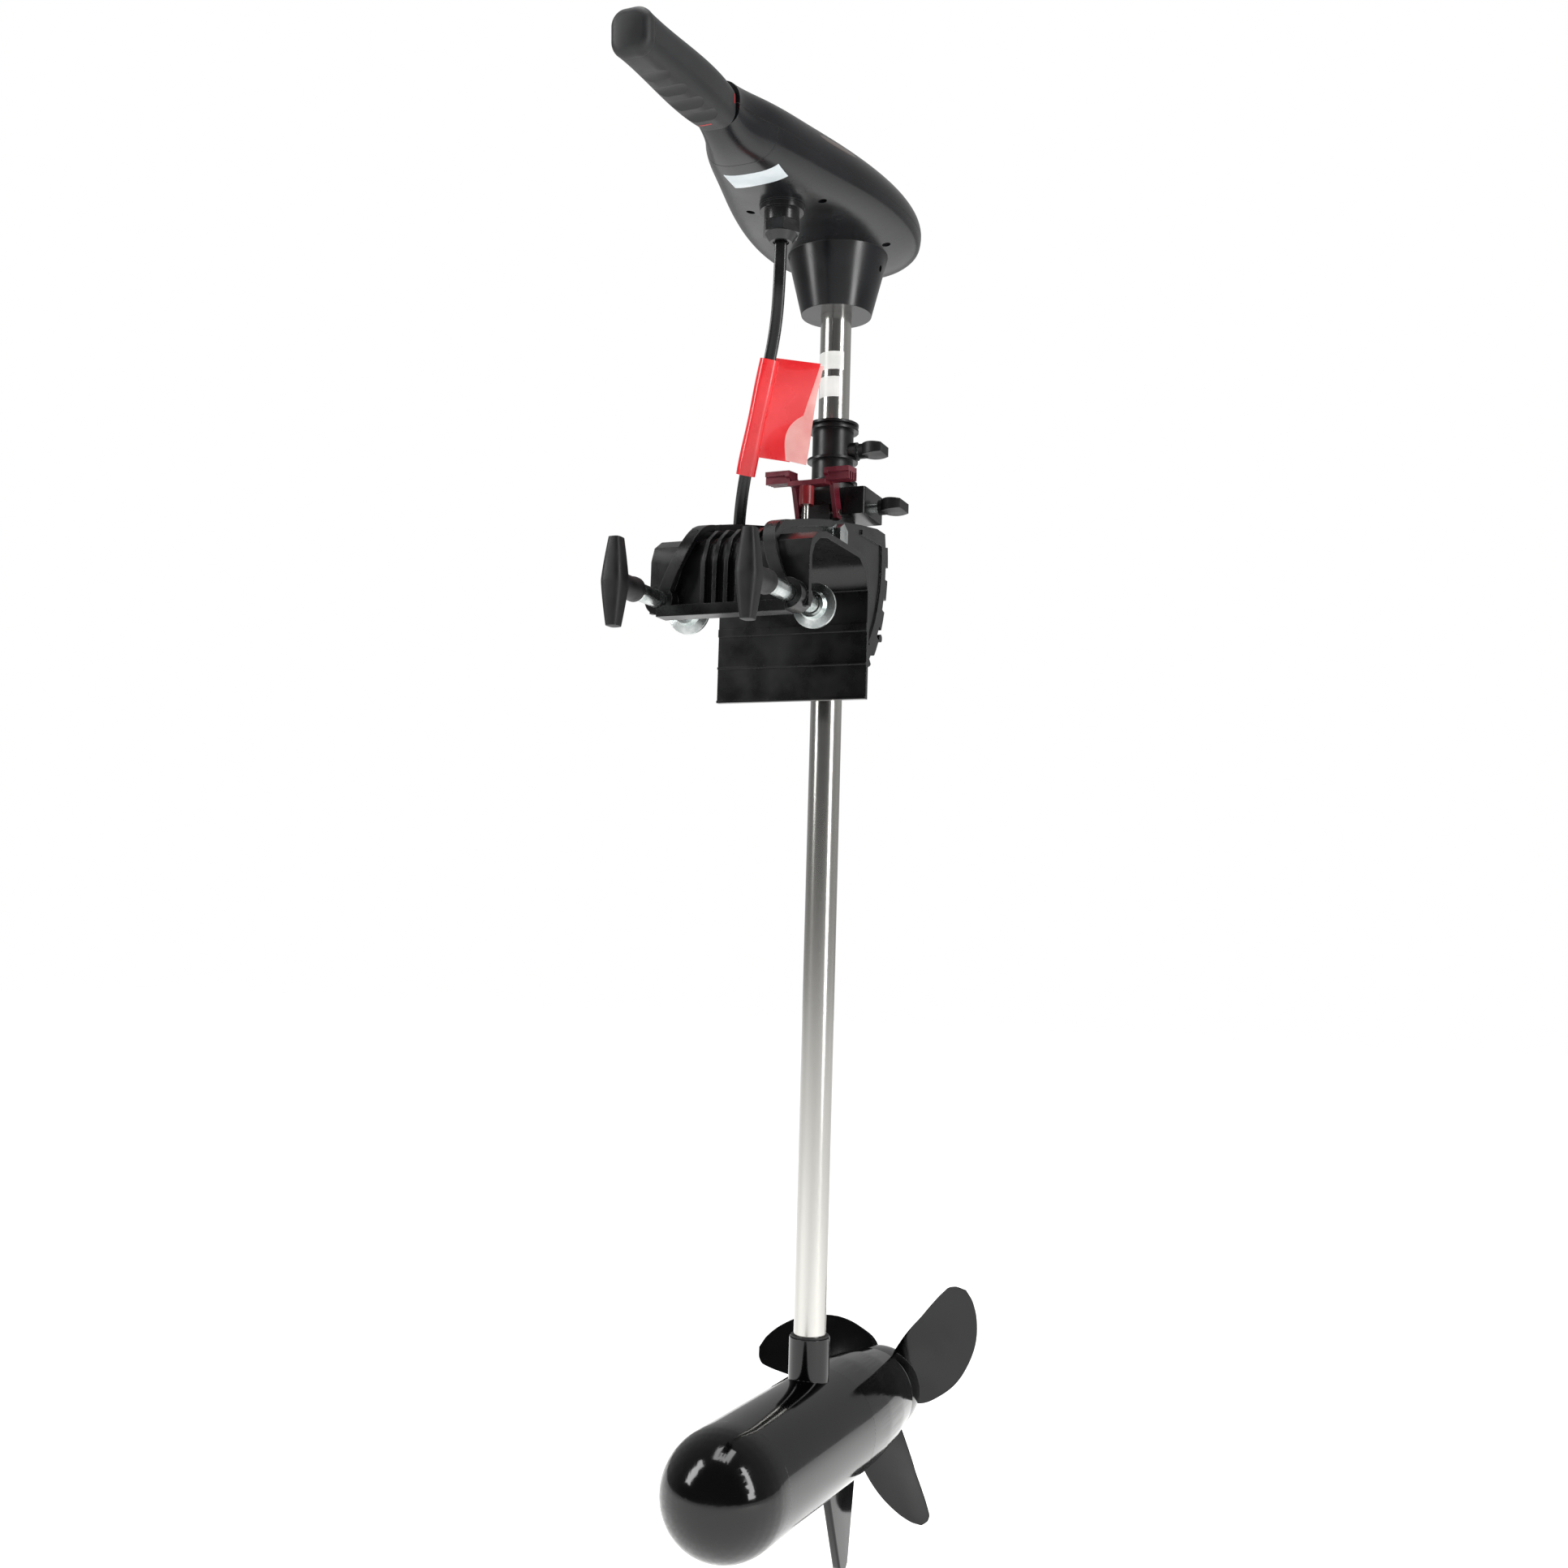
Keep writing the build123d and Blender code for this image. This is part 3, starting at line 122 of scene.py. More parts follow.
# each finish: what the surface is and how it was made; grain and wave sizes in mm
finishes = {
    # drawn and belt-brushed 304 tube: long fine streaks, bright with a soft core
    "brushedStainless": dict(hex="C9C8C4", hex2="A6A49F", metallic=1.0, rough=(0.15, 0.30), grain=0.9,
                             stretch=(1, 1, 0.012), bump=0.006, wave=30, edge=0.3),
    # bright clear-chromate zinc on steel: cool, faintly mottled
    "zincPlate": dict(hex="D3D7D6", hex2="AEB6B5", metallic=1.0, rough=(0.16, 0.33), grain=2.2,
                      bump=0.01, wave=9, edge=0.3),
    # glass-filled nylon out of a polished mould: deep gloss with a slight orange peel
    "mouldedNylon": dict(hex="060607", hex2="0A0A0B", rough=(0.22, 0.36), grain=1.6, bump=0.014, wave=22,
                         edge=0.7, spec=0.4),
    # spark-eroded mould texture on the knobs and handles: matte, visibly grainy
    "grainedNylon": dict(hex="08080A", hex2="0E0E10", rough=(0.42, 0.56), grain=0.7, bump=0.055, wave=14,
                         edge=0.8, spec=0.35),
    # ABS housing, semi-gloss charcoal with a cool sheen
    "charcoalAbs": dict(hex="0A0B0D", hex2="0F1013", rough=(0.20, 0.30), grain=1.2, bump=0.010, wave=40,
                        coat=0.0, edge=0.5, spec=0.45),
    # over-moulded soft-touch elastomer: dull, dusty black
    "softGrip": dict(hex="0D0E10", hex2="131416", rough=(0.46, 0.60), grain=0.6, bump=0.045, wave=18,
                     edge=0.8, sheen=0.05, spec=0.4),
    # plasticised PVC jacket: smooth and glossy, slightly wavy
    "pvcJacket": dict(hex="0B0B0C", hex2="141415", rough=(0.22, 0.34), grain=3.0, bump=0.020, wave=16, edge=0.3),
    # baked enamel on cast and drawn aluminium: mirror gloss under a clear coat
    "bakedEnamel": dict(hex="020202", hex2="040405", rough=(0.07, 0.13), grain=4.0, bump=0.010, wave=30,
                        coat=0.0, edge=0.6, spec=0.42),
    # injected propeller, glass-filled nylon, glossy
    "propellerNylon": dict(hex="020203", hex2="050506", rough=(0.08, 0.15), grain=3.0, bump=0.014, wave=35,
                           coat=0.0, edge=0.5, spec=0.4),
    # turned black acetal: low gloss
    "blackAcetal": dict(hex="070708", hex2="0B0B0D", rough=(0.30, 0.42), grain=1.0, bump=0.012, wave=12,
                        edge=0.5, spec=0.4),
    # maroon nylon lever
    "maroonNylon": dict(hex="55121F", hex2="641827", rough=(0.30, 0.44), grain=1.0, bump=0.018, wave=14, edge=0.6),
    # red nylon cap
    "redNylon": dict(hex="6E1218", hex2="7F181E", rough=(0.28, 0.38), grain=0.9, bump=0.012, wave=9, edge=0.5),
    # smoked polycarbonate window
    "smokedLens": dict(hex="2A1C14", hex2="3A2518", rough=(0.06, 0.10), grain=5.0, bump=0.004, wave=30, coat=0.6,
                       edge=0.3),
    # printed polyester film, front colour and the paler back
    "redFilm": dict(hex="D3141C", hex2="E0242B", rough=(0.22, 0.34), grain=9.0, bump=0.05, wave=26, coat=0.5,
                    edge=0.1),
    "paleFilm": dict(hex="E39A96", hex2="EDB3AE", rough=(0.26, 0.38), grain=9.0, bump=0.05, wave=26, coat=0.4,
                     edge=0.1),
    # pad-printed red ink on the grip: satin and slightly broken
    "redPrint": dict(hex="B3151C", hex2="8E1318", rough=(0.40, 0.55), grain=0.8, bump=0.01, wave=4, edge=0.05),
    # white vinyl sticker
    "whiteVinyl": dict(hex="DADBD8", hex2="E6E6E3", rough=(0.30, 0.42), grain=2.0, bump=0.006, wave=20, edge=0.05),
    # silvered polyester label
    "silverLabel": dict(hex="B8C0C4", hex2="CBD1D3", rough=(0.28, 0.40), grain=2.0, bump=0.008, wave=20, edge=0.05),
    # nitrile rubber
    "nitrileRubber": dict(hex="101010", hex2="181818", rough=(0.5, 0.62), grain=0.8, bump=0.02, wave=10, edge=0.3),
    # bare copper, ferrite and pressed carbon inside the motor
    "bareCopper": dict(hex="B5714C", hex2="9A5A3A", metallic=1.0, rough=(0.25, 0.42), grain=1.0, bump=0.01, wave=8,
                       edge=0.2),
    "groundFerrite": dict(hex="2A2B2D", hex2="343538", rough=(0.5, 0.65), grain=0.8, bump=0.03, wave=10, edge=0.3),
    # black and red vinyl clip boots
    "blackBoot": dict(hex="111112", hex2="1A1A1B", rough=(0.36, 0.5), grain=1.2, bump=0.02, wave=10, edge=0.6),
    "redBoot": dict(hex="A8161B", hex2="B92026", rough=(0.36, 0.5), grain=1.2, bump=0.02, wave=10, edge=0.6),
}


def makeFinish(name):
    # base colour drifts between two tones; roughness follows a broad wave; fine grain makes the bump
    f = finishes[name]
    material = bpy.data.materials.new(name)
    material.use_nodes = True
    tree = material.node_tree
    tree.nodes.clear()
    coords = add(tree, "TexCoord").outputs["Object"]
    stretched = add(tree, "Mapping", {"Scale": f.get("stretch", (1, 1, 1))}, {"Vector": coords}).outputs["Vector"]
    broad = add(tree, "TexNoise", {"Scale": 1 / (f["wave"] * mm), "Detail": 3.0}, {"Vector": stretched})
    grain = add(tree, "TexNoise", {"Scale": 1 / (f["grain"] * mm), "Detail": 2.0}, {"Vector": stretched})
    colour = add(tree, "ValToRGB", {}, {"Fac": broad.outputs["Fac"]})
    for stop, position, tone in zip(colour.color_ramp.elements, (0.38, 0.64), (f["hex"], f["hex2"])):
        stop.position = position
        stop.color = linear(tone)
    low, high = f["rough"]
    rough = add(tree, "MapRange", {"From Min": 0.3, "From Max": 0.7, "To Min": low, "To Max": high},
                {"Value": broad.outputs["Fac"]})
    rounded = add(tree, "Bevel", {"Radius": f["edge"] * mm, "samples": 4})
    bump = add(tree, "Bump", {"Strength": 1.0, "Distance": f["bump"] * mm},
               {"Height": grain.outputs["Fac"], "Normal": rounded.outputs["Normal"]})
    shader = add(tree, "BsdfPrincipled",
                 {"Metallic": f.get("metallic", 0.0), "Coat Weight": f.get("coat", 0.0), "Coat Roughness": 0.05,
                  "Sheen Weight": f.get("sheen", 0.0), "Specular IOR Level": f.get("spec", 0.5)},
                 {"Base Color": colour.outputs["Color"], "Roughness": rough.outputs["Result"],
                  "Normal": bump.outputs["Normal"]})
    add(tree, "OutputMaterial", {}, {"Surface": shader.outputs["BSDF"]})
    return material


materials = {name: makeFinish(name) for name in finishes}
print("materials made")


# ---- making pieces ----
def place(piece, body, finish, slotName, *replaced):
    # smooth shading with sharp corners kept, finish, body and what it stands for
    mesh = piece.data
    mesh.materials.clear()
    mesh.materials.append(materials[finish])
    mesh.polygons.foreach_set("use_smooth", np.ones(len(mesh.polygons), bool))
    mesh.set_sharp_from_angle(angle=math.radians(34))
    if body:
        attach(piece, body)
    if replaced:
        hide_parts(*replaced)
    return piece


def newPiece(name, points, faces):
    mesh = bpy.data.meshes.new(name)
    mesh.from_pydata([tuple(p) for p in points], [], [tuple(f) for f in faces])
    work = bmesh.new()
    work.from_mesh(mesh)
    bmesh.ops.remove_doubles(work, verts=work.verts, dist=1e-6)
    bmesh.ops.recalc_face_normals(work, faces=work.faces)
    work.to_mesh(mesh)
    work.free()
    piece = bpy.data.objects.new(name, mesh)
    bpy.context.scene.collection.objects.link(piece)
    return piece


def skin(grid, closed=True, caps=True):
    # faces of a grid of points: rows along the piece, columns round it (closed) or across it
    rows, cols = grid.shape[:2]
    index = np.arange(rows * cols).reshape(rows, cols)
    here = index if closed else index[:, :-1]
    there = np.roll(index, -1, axis=1) if closed else index[:, 1:]
    quads = np.stack([here[:-1], there[:-1], there[1:], here[1:]], axis=-1).reshape(-1, 4)
    faces = [tuple(q) for q in quads]
    if caps:
        faces += [tuple(index[0][::-1]), tuple(index[-1])]
    return grid.reshape(-1, 3), faces


def join(parts):
    # several (points, faces) as one
    points, faces, start = [], [], 0
    for p, f in parts:
        points.append(np.asarray(p, float))
        faces += [tuple(int(i) + start for i in face) for face in f]
        start += len(p)
    return np.concatenate(points), faces


def turnedGrid(profile, steps=96):
    # profile rows of (radius, height) carried round the local Z axis
    radius, height = np.array(profile, float).T
    angle = np.linspace(0, 2 * math.pi, steps, endpoint=False)
    return np.stack([radius[:, None] * np.cos(angle), radius[:, None] * np.sin(angle),
                     height[:, None] + 0 * angle], axis=-1)


def toward(grid, origin, axis):
    # local Z laid along axis from origin, millimetres to metres
    turn = Vector((0, 0, 1)).rotation_difference(Vector(axis)).to_matrix()
    return (grid @ np.array(turn).T + np.array(origin)) * mm


def ease(a, b, t):
    s = np.clip((np.asarray(t, float) - a) / (b - a), 0, 1)
    return s * s * (3 - 2 * s)


def refine(node, body, finish, slotName, merge=2e-5):
    # a CAD node's own shape, merged and shaded smooth, in a better finish
    source = frame["nodes"][node]
    mesh = source.data.copy()
    work = bmesh.new()
    work.from_mesh(mesh)
    bmesh.ops.remove_doubles(work, verts=work.verts, dist=merge)
    bmesh.ops.dissolve_limit(work, angle_limit=math.radians(0.6), verts=work.verts, edges=work.edges)
    work.to_mesh(mesh)
    work.free()
    for layer in list(mesh.attributes):
        if layer.name == "custom_normal":
            mesh.attributes.remove(layer)
    piece = bpy.data.objects.new(node + "Fine", mesh)
    bpy.context.scene.collection.objects.link(piece)
    return place(piece, body, finish, slotName, node)


bodyOf = {n: b for b, ns in frame["record"]["behaviour"]["bodies"].items() for n in ns}
slotOf = {s["node"]: s["material_slot"] for s in frame["record"]["subparts"]}

# ---- battery lead: first, because its spread is checked ----
lead = {
    "route": [(0, -41, 315), (0, -41, 271), (-6, -31, 229), (-17, -25, 188), (-29, -18, 147),
              (-41, -9, 108), (-49, 3, 73), (-50.5, 15, 44), (-50, 24, 20)],
    "width": 9.5, "thick": 5.4, "coilCentre": (-50, 80, 14), "coilMean": 49.0, "turns": 4.9,
    "layer": 5.45, "columns": (-45.5, -54.5), "steps": 14, "startAngle": 192, "across": (0.92, 0.39, 0),
}


def coilPoints(c):
    # turns wind down one column of the coil and back up the other, a layer apart
    _, cy, cz = c["coilCentre"]
    turn = np.arange(int(c["turns"] * c["steps"]) + 1) / c["steps"]
    near, far = c["columns"]
    layers = [c["coilMean"] + k * c["layer"] for k in (1, 0, -1, -1, 0, 1)]
    radius = np.interp(turn, range(len(layers)), layers)
    across = np.interp(turn, range(len(layers)), (far, far, far, near, near, near))
    angle = math.radians(c["startAngle"]) + turn * 2 * math.pi
    return [(x, cy + r * math.cos(a), cz + r * math.sin(a)) for x, r, a in zip(across, radius, angle)]


def smoothLine(name, points):
    # the sampled line of one smooth NURBS spline through its control points, in mm
    curve = bpy.data.curves.new(name, "CURVE")
    curve.dimensions = "3D"
    curve.resolution_u = 8
    spline = curve.splines.new("NURBS")
    spline.points.add(len(points) - 1)
    for point, p in zip(spline.points, points):
        point.co = (*p, 1)
    spline.order_u = 3
    spline.use_endpoint_u = True
    holder = bpy.data.objects.new(name, curve)
    mesh = bpy.data.meshes.new_from_object(holder)
    line = np.array([v.co for v in mesh.vertices])
    bpy.data.objects.remove(holder)
    bpy.data.meshes.remove(mesh)
    bpy.data.curves.remove(curve)
    keep = np.concatenate([[True], np.linalg.norm(np.diff(line, axis=0), axis=1) > 1e-4])
    return line[keep]


def framesAlong(line, wide):
    # across and up at each point; across starts near wide and is carried along untwisted
    tangent = np.gradient(line, axis=0)
    tangent /= np.linalg.norm(tangent, axis=1, keepdims=True)
    across = np.zeros_like(tangent)
    carried = np.array(wide, float)
    for i, t in enumerate(tangent):
        carried = carried - t * carried.dot(t)
        carried /= np.linalg.norm(carried)
        across[i] = carried
    return across, np.cross(tangent, across)


def twinTube(line, across, up, width, thick, steps=20):
    # two round cores side by side with a shallow valley between, as one closed outline
    a = np.linspace(0, 2 * math.pi, steps, endpoint=False)
    x = np.cos(a) * width / 2
    valley = 1 - 0.22 * np.exp(-(x / (width * 0.12)) ** 2)
    y = np.sign(np.sin(a)) * np.abs(np.sin(a)) ** 0.62 * thick / 2 * valley
    return line[:, None, :] + x[None, :, None] * across[:, None, :] + y[None, :, None] * up[:, None, :]


leadLine = smoothLine("leadLine", lead["route"][:-1] + coilPoints(lead))
leadAcross, leadUp = framesAlong(leadLine, lead["across"])
leadTube = twinTube(leadLine, leadAcross, leadUp, lead["width"], lead["thick"])
leadPiece = newPiece("batteryLead", *skin(leadTube * mm))
place(leadPiece, None, "pvcJacket", "cable_rubber", "battery_cable", "cable_coil")
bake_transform(leadPiece, "steer", "depth", start=(0, -0.041, 0.285), end=(-0.044, -0.005, 0.098))
# the clips on its far end, one boot red and one black, and the tie round its coil
clipPiece = refine("battery_clips", "depth", "blackBoot", slotOf["battery_clips"])
clipPiece.data.materials.append(materials["redBoot"])
tiePiece = refine("cable_tie", "depth", "blackBoot", slotOf["cable_tie"])
for face in clipPiece.data.polygons:
    face.material_index = int(face.center.y < lead["coilCentre"][1] * mm)
print("lead made")

# ---- warning tag: film welded into a sleeve, a flag beside it and a paler leaf folded behind ----
tag = {
    "zTop": 207.0, "zEnd": 117.0, "wide": 7.4, "deep": 6.2, "film": 0.35,
    "flag": [(-12, -25, 207), (-31, -17, 133), (-6, 1, 131), (19, -2, 206)],
    "leaf": [(-8, -19, 205), (-27, -10, 136), (6, 6, 129), (20, 1, 205)],
    "wave": 1.9,
}


def filmSlab(outer, inner):
    # two grids of the same size, front and back, closed round their rim
    rows, cols = outer.shape[:2]
    index = np.arange(rows * cols).reshape(rows, cols)
    quads = np.stack([index[:-1, :-1], index[:-1, 1:], index[1:, 1:], index[1:, :-1]], axis=-1).reshape(-1, 4)
    back = quads[:, ::-1] + rows * cols
    rim = np.concatenate([index[0], index[1:, -1], index[-1, -2::-1], index[-2:0:-1, 0]])
    after = np.roll(rim, -1)
    walls = np.stack([rim, rim + rows * cols, after + rows * cols, after], axis=-1)
    points = np.concatenate([outer.reshape(-1, 3), inner.reshape(-1, 3)])
    return points, [tuple(q) for q in np.concatenate([quads, back, walls])]


def leaf(corners, wave, film, phase, rows=40, cols=24):
    # bilinear through the four corners (u down the cable, v across), rippled along its normal, more when freer
    a, b, c, d = (np.array(p, float) for p in corners)
    u, v = np.meshgrid(np.linspace(0, 1, rows), np.linspace(0, 1, cols), indexing="ij")
    u3, v3 = u[..., None], v[..., None]
    flat = (a * (1 - u3) + b * u3) * (1 - v3) + (d * (1 - u3) + c * u3) * v3
    normal = np.cross(b - a, d - a)
    normal /= np.linalg.norm(normal)
    lift = wave * v * np.sin(2.1 * math.pi * u + phase + 1.1 * v) + 0.5 * wave * v * v * np.sin(5 * u + phase)
    front = flat + lift[..., None] * normal
    return front, front - film * normal


def sleeveGrid(t):
    # a lens-shaped tube round the cable, its rows on the cable's own line
    onRun = np.arange(len(leadLine)) < np.argmin(leadLine[:, 2])
    rows = np.flatnonzero(onRun & (leadLine[:, 2] < t["zTop"]) & (leadLine[:, 2] > t["zEnd"]))
    angle = np.linspace(0, 2 * math.pi, 36, endpoint=False)
    flatten = 1 - 0.10 * np.cos(2 * angle) ** 2
    shape = np.stack([t["wide"] * np.cos(angle), t["deep"] * flatten * np.sin(angle)])
    wave = 1 + 0.035 * np.sin(np.linspace(0, 9, len(rows)))
    grids = []
    for grow in (0, -t["film"]):
        wide = (shape[0] * (1 + grow / t["wide"]))[None, :, None] * wave[:, None, None]
        deep = (shape[1] * (1 + grow / t["deep"]))[None, :, None] * wave[:, None, None]
        grids.append(leadLine[rows][:, None, :] + wide * leadAcross[rows][:, None, :]
                     + deep * leadUp[rows][:, None, :])
    return grids


def makeTag(t):
    outer, inner = sleeveGrid(t)
    tube = np.concatenate([outer, inner[::-1], outer[:1]])
    sleeve = skin(tube, caps=False)
    flag = filmSlab(*leaf(t["flag"], t["wave"], t["film"], 0.4))
    piece = newPiece("warningTagFilm", *join([(p * mm, f) for p, f in (sleeve, flag)]))
    place(piece, None, "redFilm", slotOf["warning_tag"], "warning_tag")
    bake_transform(piece, "steer", "depth", start=(0, -0.041, 0.285), end=(-0.044, -0.005, 0.098))
    p, f = filmSlab(*leaf(t["leaf"], t["wave"] * 1.3, t["film"], 1.3))
    back = newPiece("warningTagLeaf", p * mm, f)
    place(back, None, "paleFilm", slotOf["warning_tag"], "warning_tag")
    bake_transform(back, "steer", "depth", start=(0, -0.041, 0.285), end=(-0.044, -0.005, 0.098))


makeTag(tag)
print("tag made")

# ---- clamp handles: bars that swell to the middle both ways, over a short round hub ----
clampHandle = {
    "x": 50.0, "barY": -191.0, "hubY": -162.0, "half": 31.0, "middle": (8.4, 8.6), "end": (4.4, 5.4),
    "swell": 1.25, "square": 3.4, "bore": 6.42, "hub": 8.6,
}


def handleGrid(h, x):
    # superellipse sections up the bar; half sizes fall from the middle to the ends as |t| to a power
    t = np.concatenate([[-1.0], np.linspace(-0.985, 0.985, 61), [1.0]])
    fade = np.abs(t) ** h["swell"]
    close = np.where(np.abs(t) > 0.999, 0.72, 1.0)
    wide = (h["middle"][0] + (h["end"][0] - h["middle"][0]) * fade) * close
    deep = (h["middle"][1] + (h["end"][1] - h["middle"][1]) * fade) * close
    a = np.linspace(0, 2 * math.pi, 48, endpoint=False)
    power = 2 / h["square"]
    cx, cy = (np.sign(q) * np.abs(q) ** power for q in (np.cos(a), np.sin(a)))
    grip = 1 - 0.05 * (np.abs(cy) > 0.97)
    return np.stack([x + wide[:, None] * cx * grip, h["barY"] + deep[:, None] * cy,
                     h["half"] * t[:, None] + 0 * a], axis=-1)


def makeHandle(side, h):
    x = h["x"] * (1 if side == "right" else -1)
    reach = h["hubY"] - h["barY"]
    hub = [(h["bore"], 4), (h["hub"] - 0.4, 4), (h["hub"] - 0.5, reach - 9), (h["hub"] - 0.1, reach - 6),
           (h["hub"] + 0.2, reach - 4.5), (h["hub"] + 0.2, reach - 1), (h["hub"] - 0.5, reach),
           (h["bore"], reach), (h["bore"], 4)]
    hubGrid = toward(turnedGrid(hub, 64), (x, h["barY"], 0), (0, 1, 0))
    piece = newPiece(f"clampHandle{side.capitalize()}", *join([
        skin(handleGrid(h, x) * mm), skin(hubGrid, caps=False)]))
    node = f"clamp_handle_{side}"
    place(piece, bodyOf[node], "grainedNylon", slotOf[node], node)


for side in ("left", "right"):
    makeHandle(side, clampHandle)
print("handles made")

# ---- propeller: round hub, three cambered blades on a helix ----
wheel = {
    "axisZ": -626.0, "hubY": 222.0, "length": 40.0, "hubR": 37.5, "bore": 5.2, "middle": 20.0,
    "pitch": 20.0,
    "tips": (56, 176, -64), "camber": 5.0, "thick": (5.6, 2.0), "root": 30.0, "reach": 87.6, "span": 88.0,
    # the hub's outline: how far inside its radius, and how far back from its front
    "outline": [(0.8, 0), (0, 0.8), (0.1, 6), (0.4, 12), (1.2, 20), (2.5, 28), (4.8, 34), (7.0, 38), (9.5, 39.8),
                (11, 40)],
    "straight": [(30, 13), (39, 10), (75, 3.5), (100, 1.4), (111, 0.2), (115.5, -2.2), (117.6, -6)],
    "round": [(30, -79), (38, -74), (50, -61), (64, -50), (79, -38), (96, -26), (109, -16), (115, -10.5),
              (117.6, -6)],
}


def bladeGrid(w):
    # rows out along the radius, columns across the chord; angle between the two edge curves,
    # set back along the axis by r sin(angle) tan(pitch), bowed by camber and thinned to both edges
    grow = np.linspace(0, 1, 60)
    r = w["root"] + w["reach"] * np.sin(grow * math.pi / 2) ** 0.9
    one, two = (np.interp(r, *np.array(w[k], float).T) for k in ("straight", "round"))
    for _ in range(3):
        one[1:-1] = (one[:-2] + 2 * one[1:-1] + one[2:]) / 4
        two[1:-1] = (two[:-2] + 2 * two[1:-1] + two[2:]) / 4
    t = (1 - np.cos(np.linspace(0, math.pi, 34))) / 2
    angle = np.radians(one[:, None] + (two - one)[:, None] * t)
    out = (r[:, None] - w["root"]) / w["span"]
    full = w["thick"][0] + (w["thick"][1] - w["thick"][0]) * out
    half = full / 2 * np.sqrt(np.clip(4 * t * (1 - t), 0, 1)) + 0.25
    chord = np.clip((one - two) / 45, 0.05, 1)[:, None]
    back = -r[:, None] * np.sin(angle) * math.tan(math.radians(w["pitch"]))
    back = back + w["camber"] * chord * (4 * t * (1 - t) - 0.5) * ease(0, 0.35, out)
    sides = [np.stack([r[:, None] * np.cos(angle), back + s * half, r[:, None] * np.sin(angle)], axis=-1)
             for s in (-1, 1)]
    return np.concatenate([sides[0], sides[1][:, ::-1]], axis=1)


def makeWheel(w):
    outline = [(w["hubR"] - inside, back) for inside, back in w["outline"]]
    hub = [(w["bore"], 0), *outline, (w["bore"], w["length"]), (w["bore"], 0)]
    parts = [skin(toward(turnedGrid(hub, 120), (0, w["hubY"], w["axisZ"]), (0, 1, 0)), caps=False)]
    blade = bladeGrid(w)
    for tip in w["tips"]:
        c, s = math.cos(math.radians(tip)), math.sin(math.radians(tip))
        turn = np.array([[c, 0, s], [0, 1, 0], [-s, 0, c]])
        spot = np.array([0, w["hubY"] + w["middle"], w["axisZ"]])
        grid = blade @ turn + spot
        parts.append(skin(grid * mm))
    piece = newPiece("propellerWheel", *join(parts))
    place(piece, bodyOf["propeller"], "propellerNylon", slotOf["propeller"], "propeller")


makeWheel(wheel)
print("propeller made")

# ---- thin pieces laid on the surfaces: blank labels, seam lines of painted shade and index marks ----
laid = {
    "serialLabel": dict(node="head_lower_housing", toward=(0, 0, 1), start=300, finish="silverLabel",
                        corners=[(-21, -102.5), (23.5, -103), (23.5, -85), (-21, -81)], lift=0.12),
    # each mark is its middle and reach in degrees round the grip, and how far ahead of the root
    "gripIndexMarks": dict(root=(0, -160, 341), tilt=4.2, wide=1.6, standOff=40, lift=0.1, finish="redPrint",
                           marks=[(12, 12, 2.0), (-98, 16, 12.5)]),
    "sideWindow": dict(front=(39.9, -66, 357.2), rear=(51.5, -20, 359.2), half=2.6, lift=0.15, standOff=25,
                       inward=(-0.85, 0.2, -0.48), finish="smokedLens"),
    # each spot is its height on the shaft, how tall it is and the degrees it spreads to each side
    "shaftLabels": dict(axisY=77, radius=12.7, proud=0.14, sunk=0.1, facing=-96, finish="whiteVinyl",
                        spots=[(233, 15, 62), (211, 17, 46)]),
}


def treeOf(*nodes):
    # one ray-casting tree over some CAD nodes
    points, faces, start = [], [], 0
    for node in nodes:
        mesh = frame["nodes"][node].data
        points += [v.co[:] for v in mesh.vertices]
        faces += [[i + start for i in p.vertices] for p in mesh.polygons]
        start = len(points)
    return BVHTree.FromPolygons(points, faces)


def laidOn(tree, starts, directions, lift, depth=0.35):
    # each start cast along its direction onto the surface; a skin stands lift proud of it, depth thick
    spots = []
    for a, d in zip(starts.reshape(-1, 3), directions.reshape(-1, 3)):
        got = tree.ray_cast(Vector(a) * mm, Vector(d))[0]
        spots.append(np.array(got) / mm if got else a)
    spots = np.array(spots).reshape(starts.shape)
    return spots - directions * lift, spots + directions * (depth - lift)


def makeSerialLabel(name, c):
    a, b, d, e = (np.array((*p, c["start"]), float) for p in c["corners"])
    u, v = np.meshgrid(np.linspace(0, 1, 30), np.linspace(0, 1, 14), indexing="ij")
    u, v = u[..., None], v[..., None]
    starts = (a * (1 - u) + b * u) * (1 - v) + (e * (1 - u) + d * u) * v
    directions = np.zeros_like(starts) + np.array(c["toward"], float)
    p, f = filmSlab(*laidOn(treeOf(c["node"]), starts, directions, c["lift"]))
    place(newPiece(name, p * mm, f), bodyOf[c["node"]], c["finish"], slotOf["indicator_lens"])


def makeShaftLabels(c):
    # blank vinyl rectangles bent round the tube, facing forward
    parts = []
    for z, tall, spread in c["spots"]:
        a = np.radians(c["facing"] + np.linspace(-spread, spread, 24))
        h = z + np.linspace(-tall / 2, tall / 2, 6)[:, None]
        grids = [np.stack([r * np.cos(a) + 0 * h, c["axisY"] + r * np.sin(a) + 0 * h, h + 0 * a], axis=-1)
                 for r in (c["radius"] + c["proud"], c["radius"] - c["sunk"])]
        p, f = filmSlab(*grids)
        parts.append((p * mm, f))
    place(newPiece("shaftLabels", *join(parts)), bodyOf["shaft_tube"], c["finish"], slotOf["shaft_tube"])


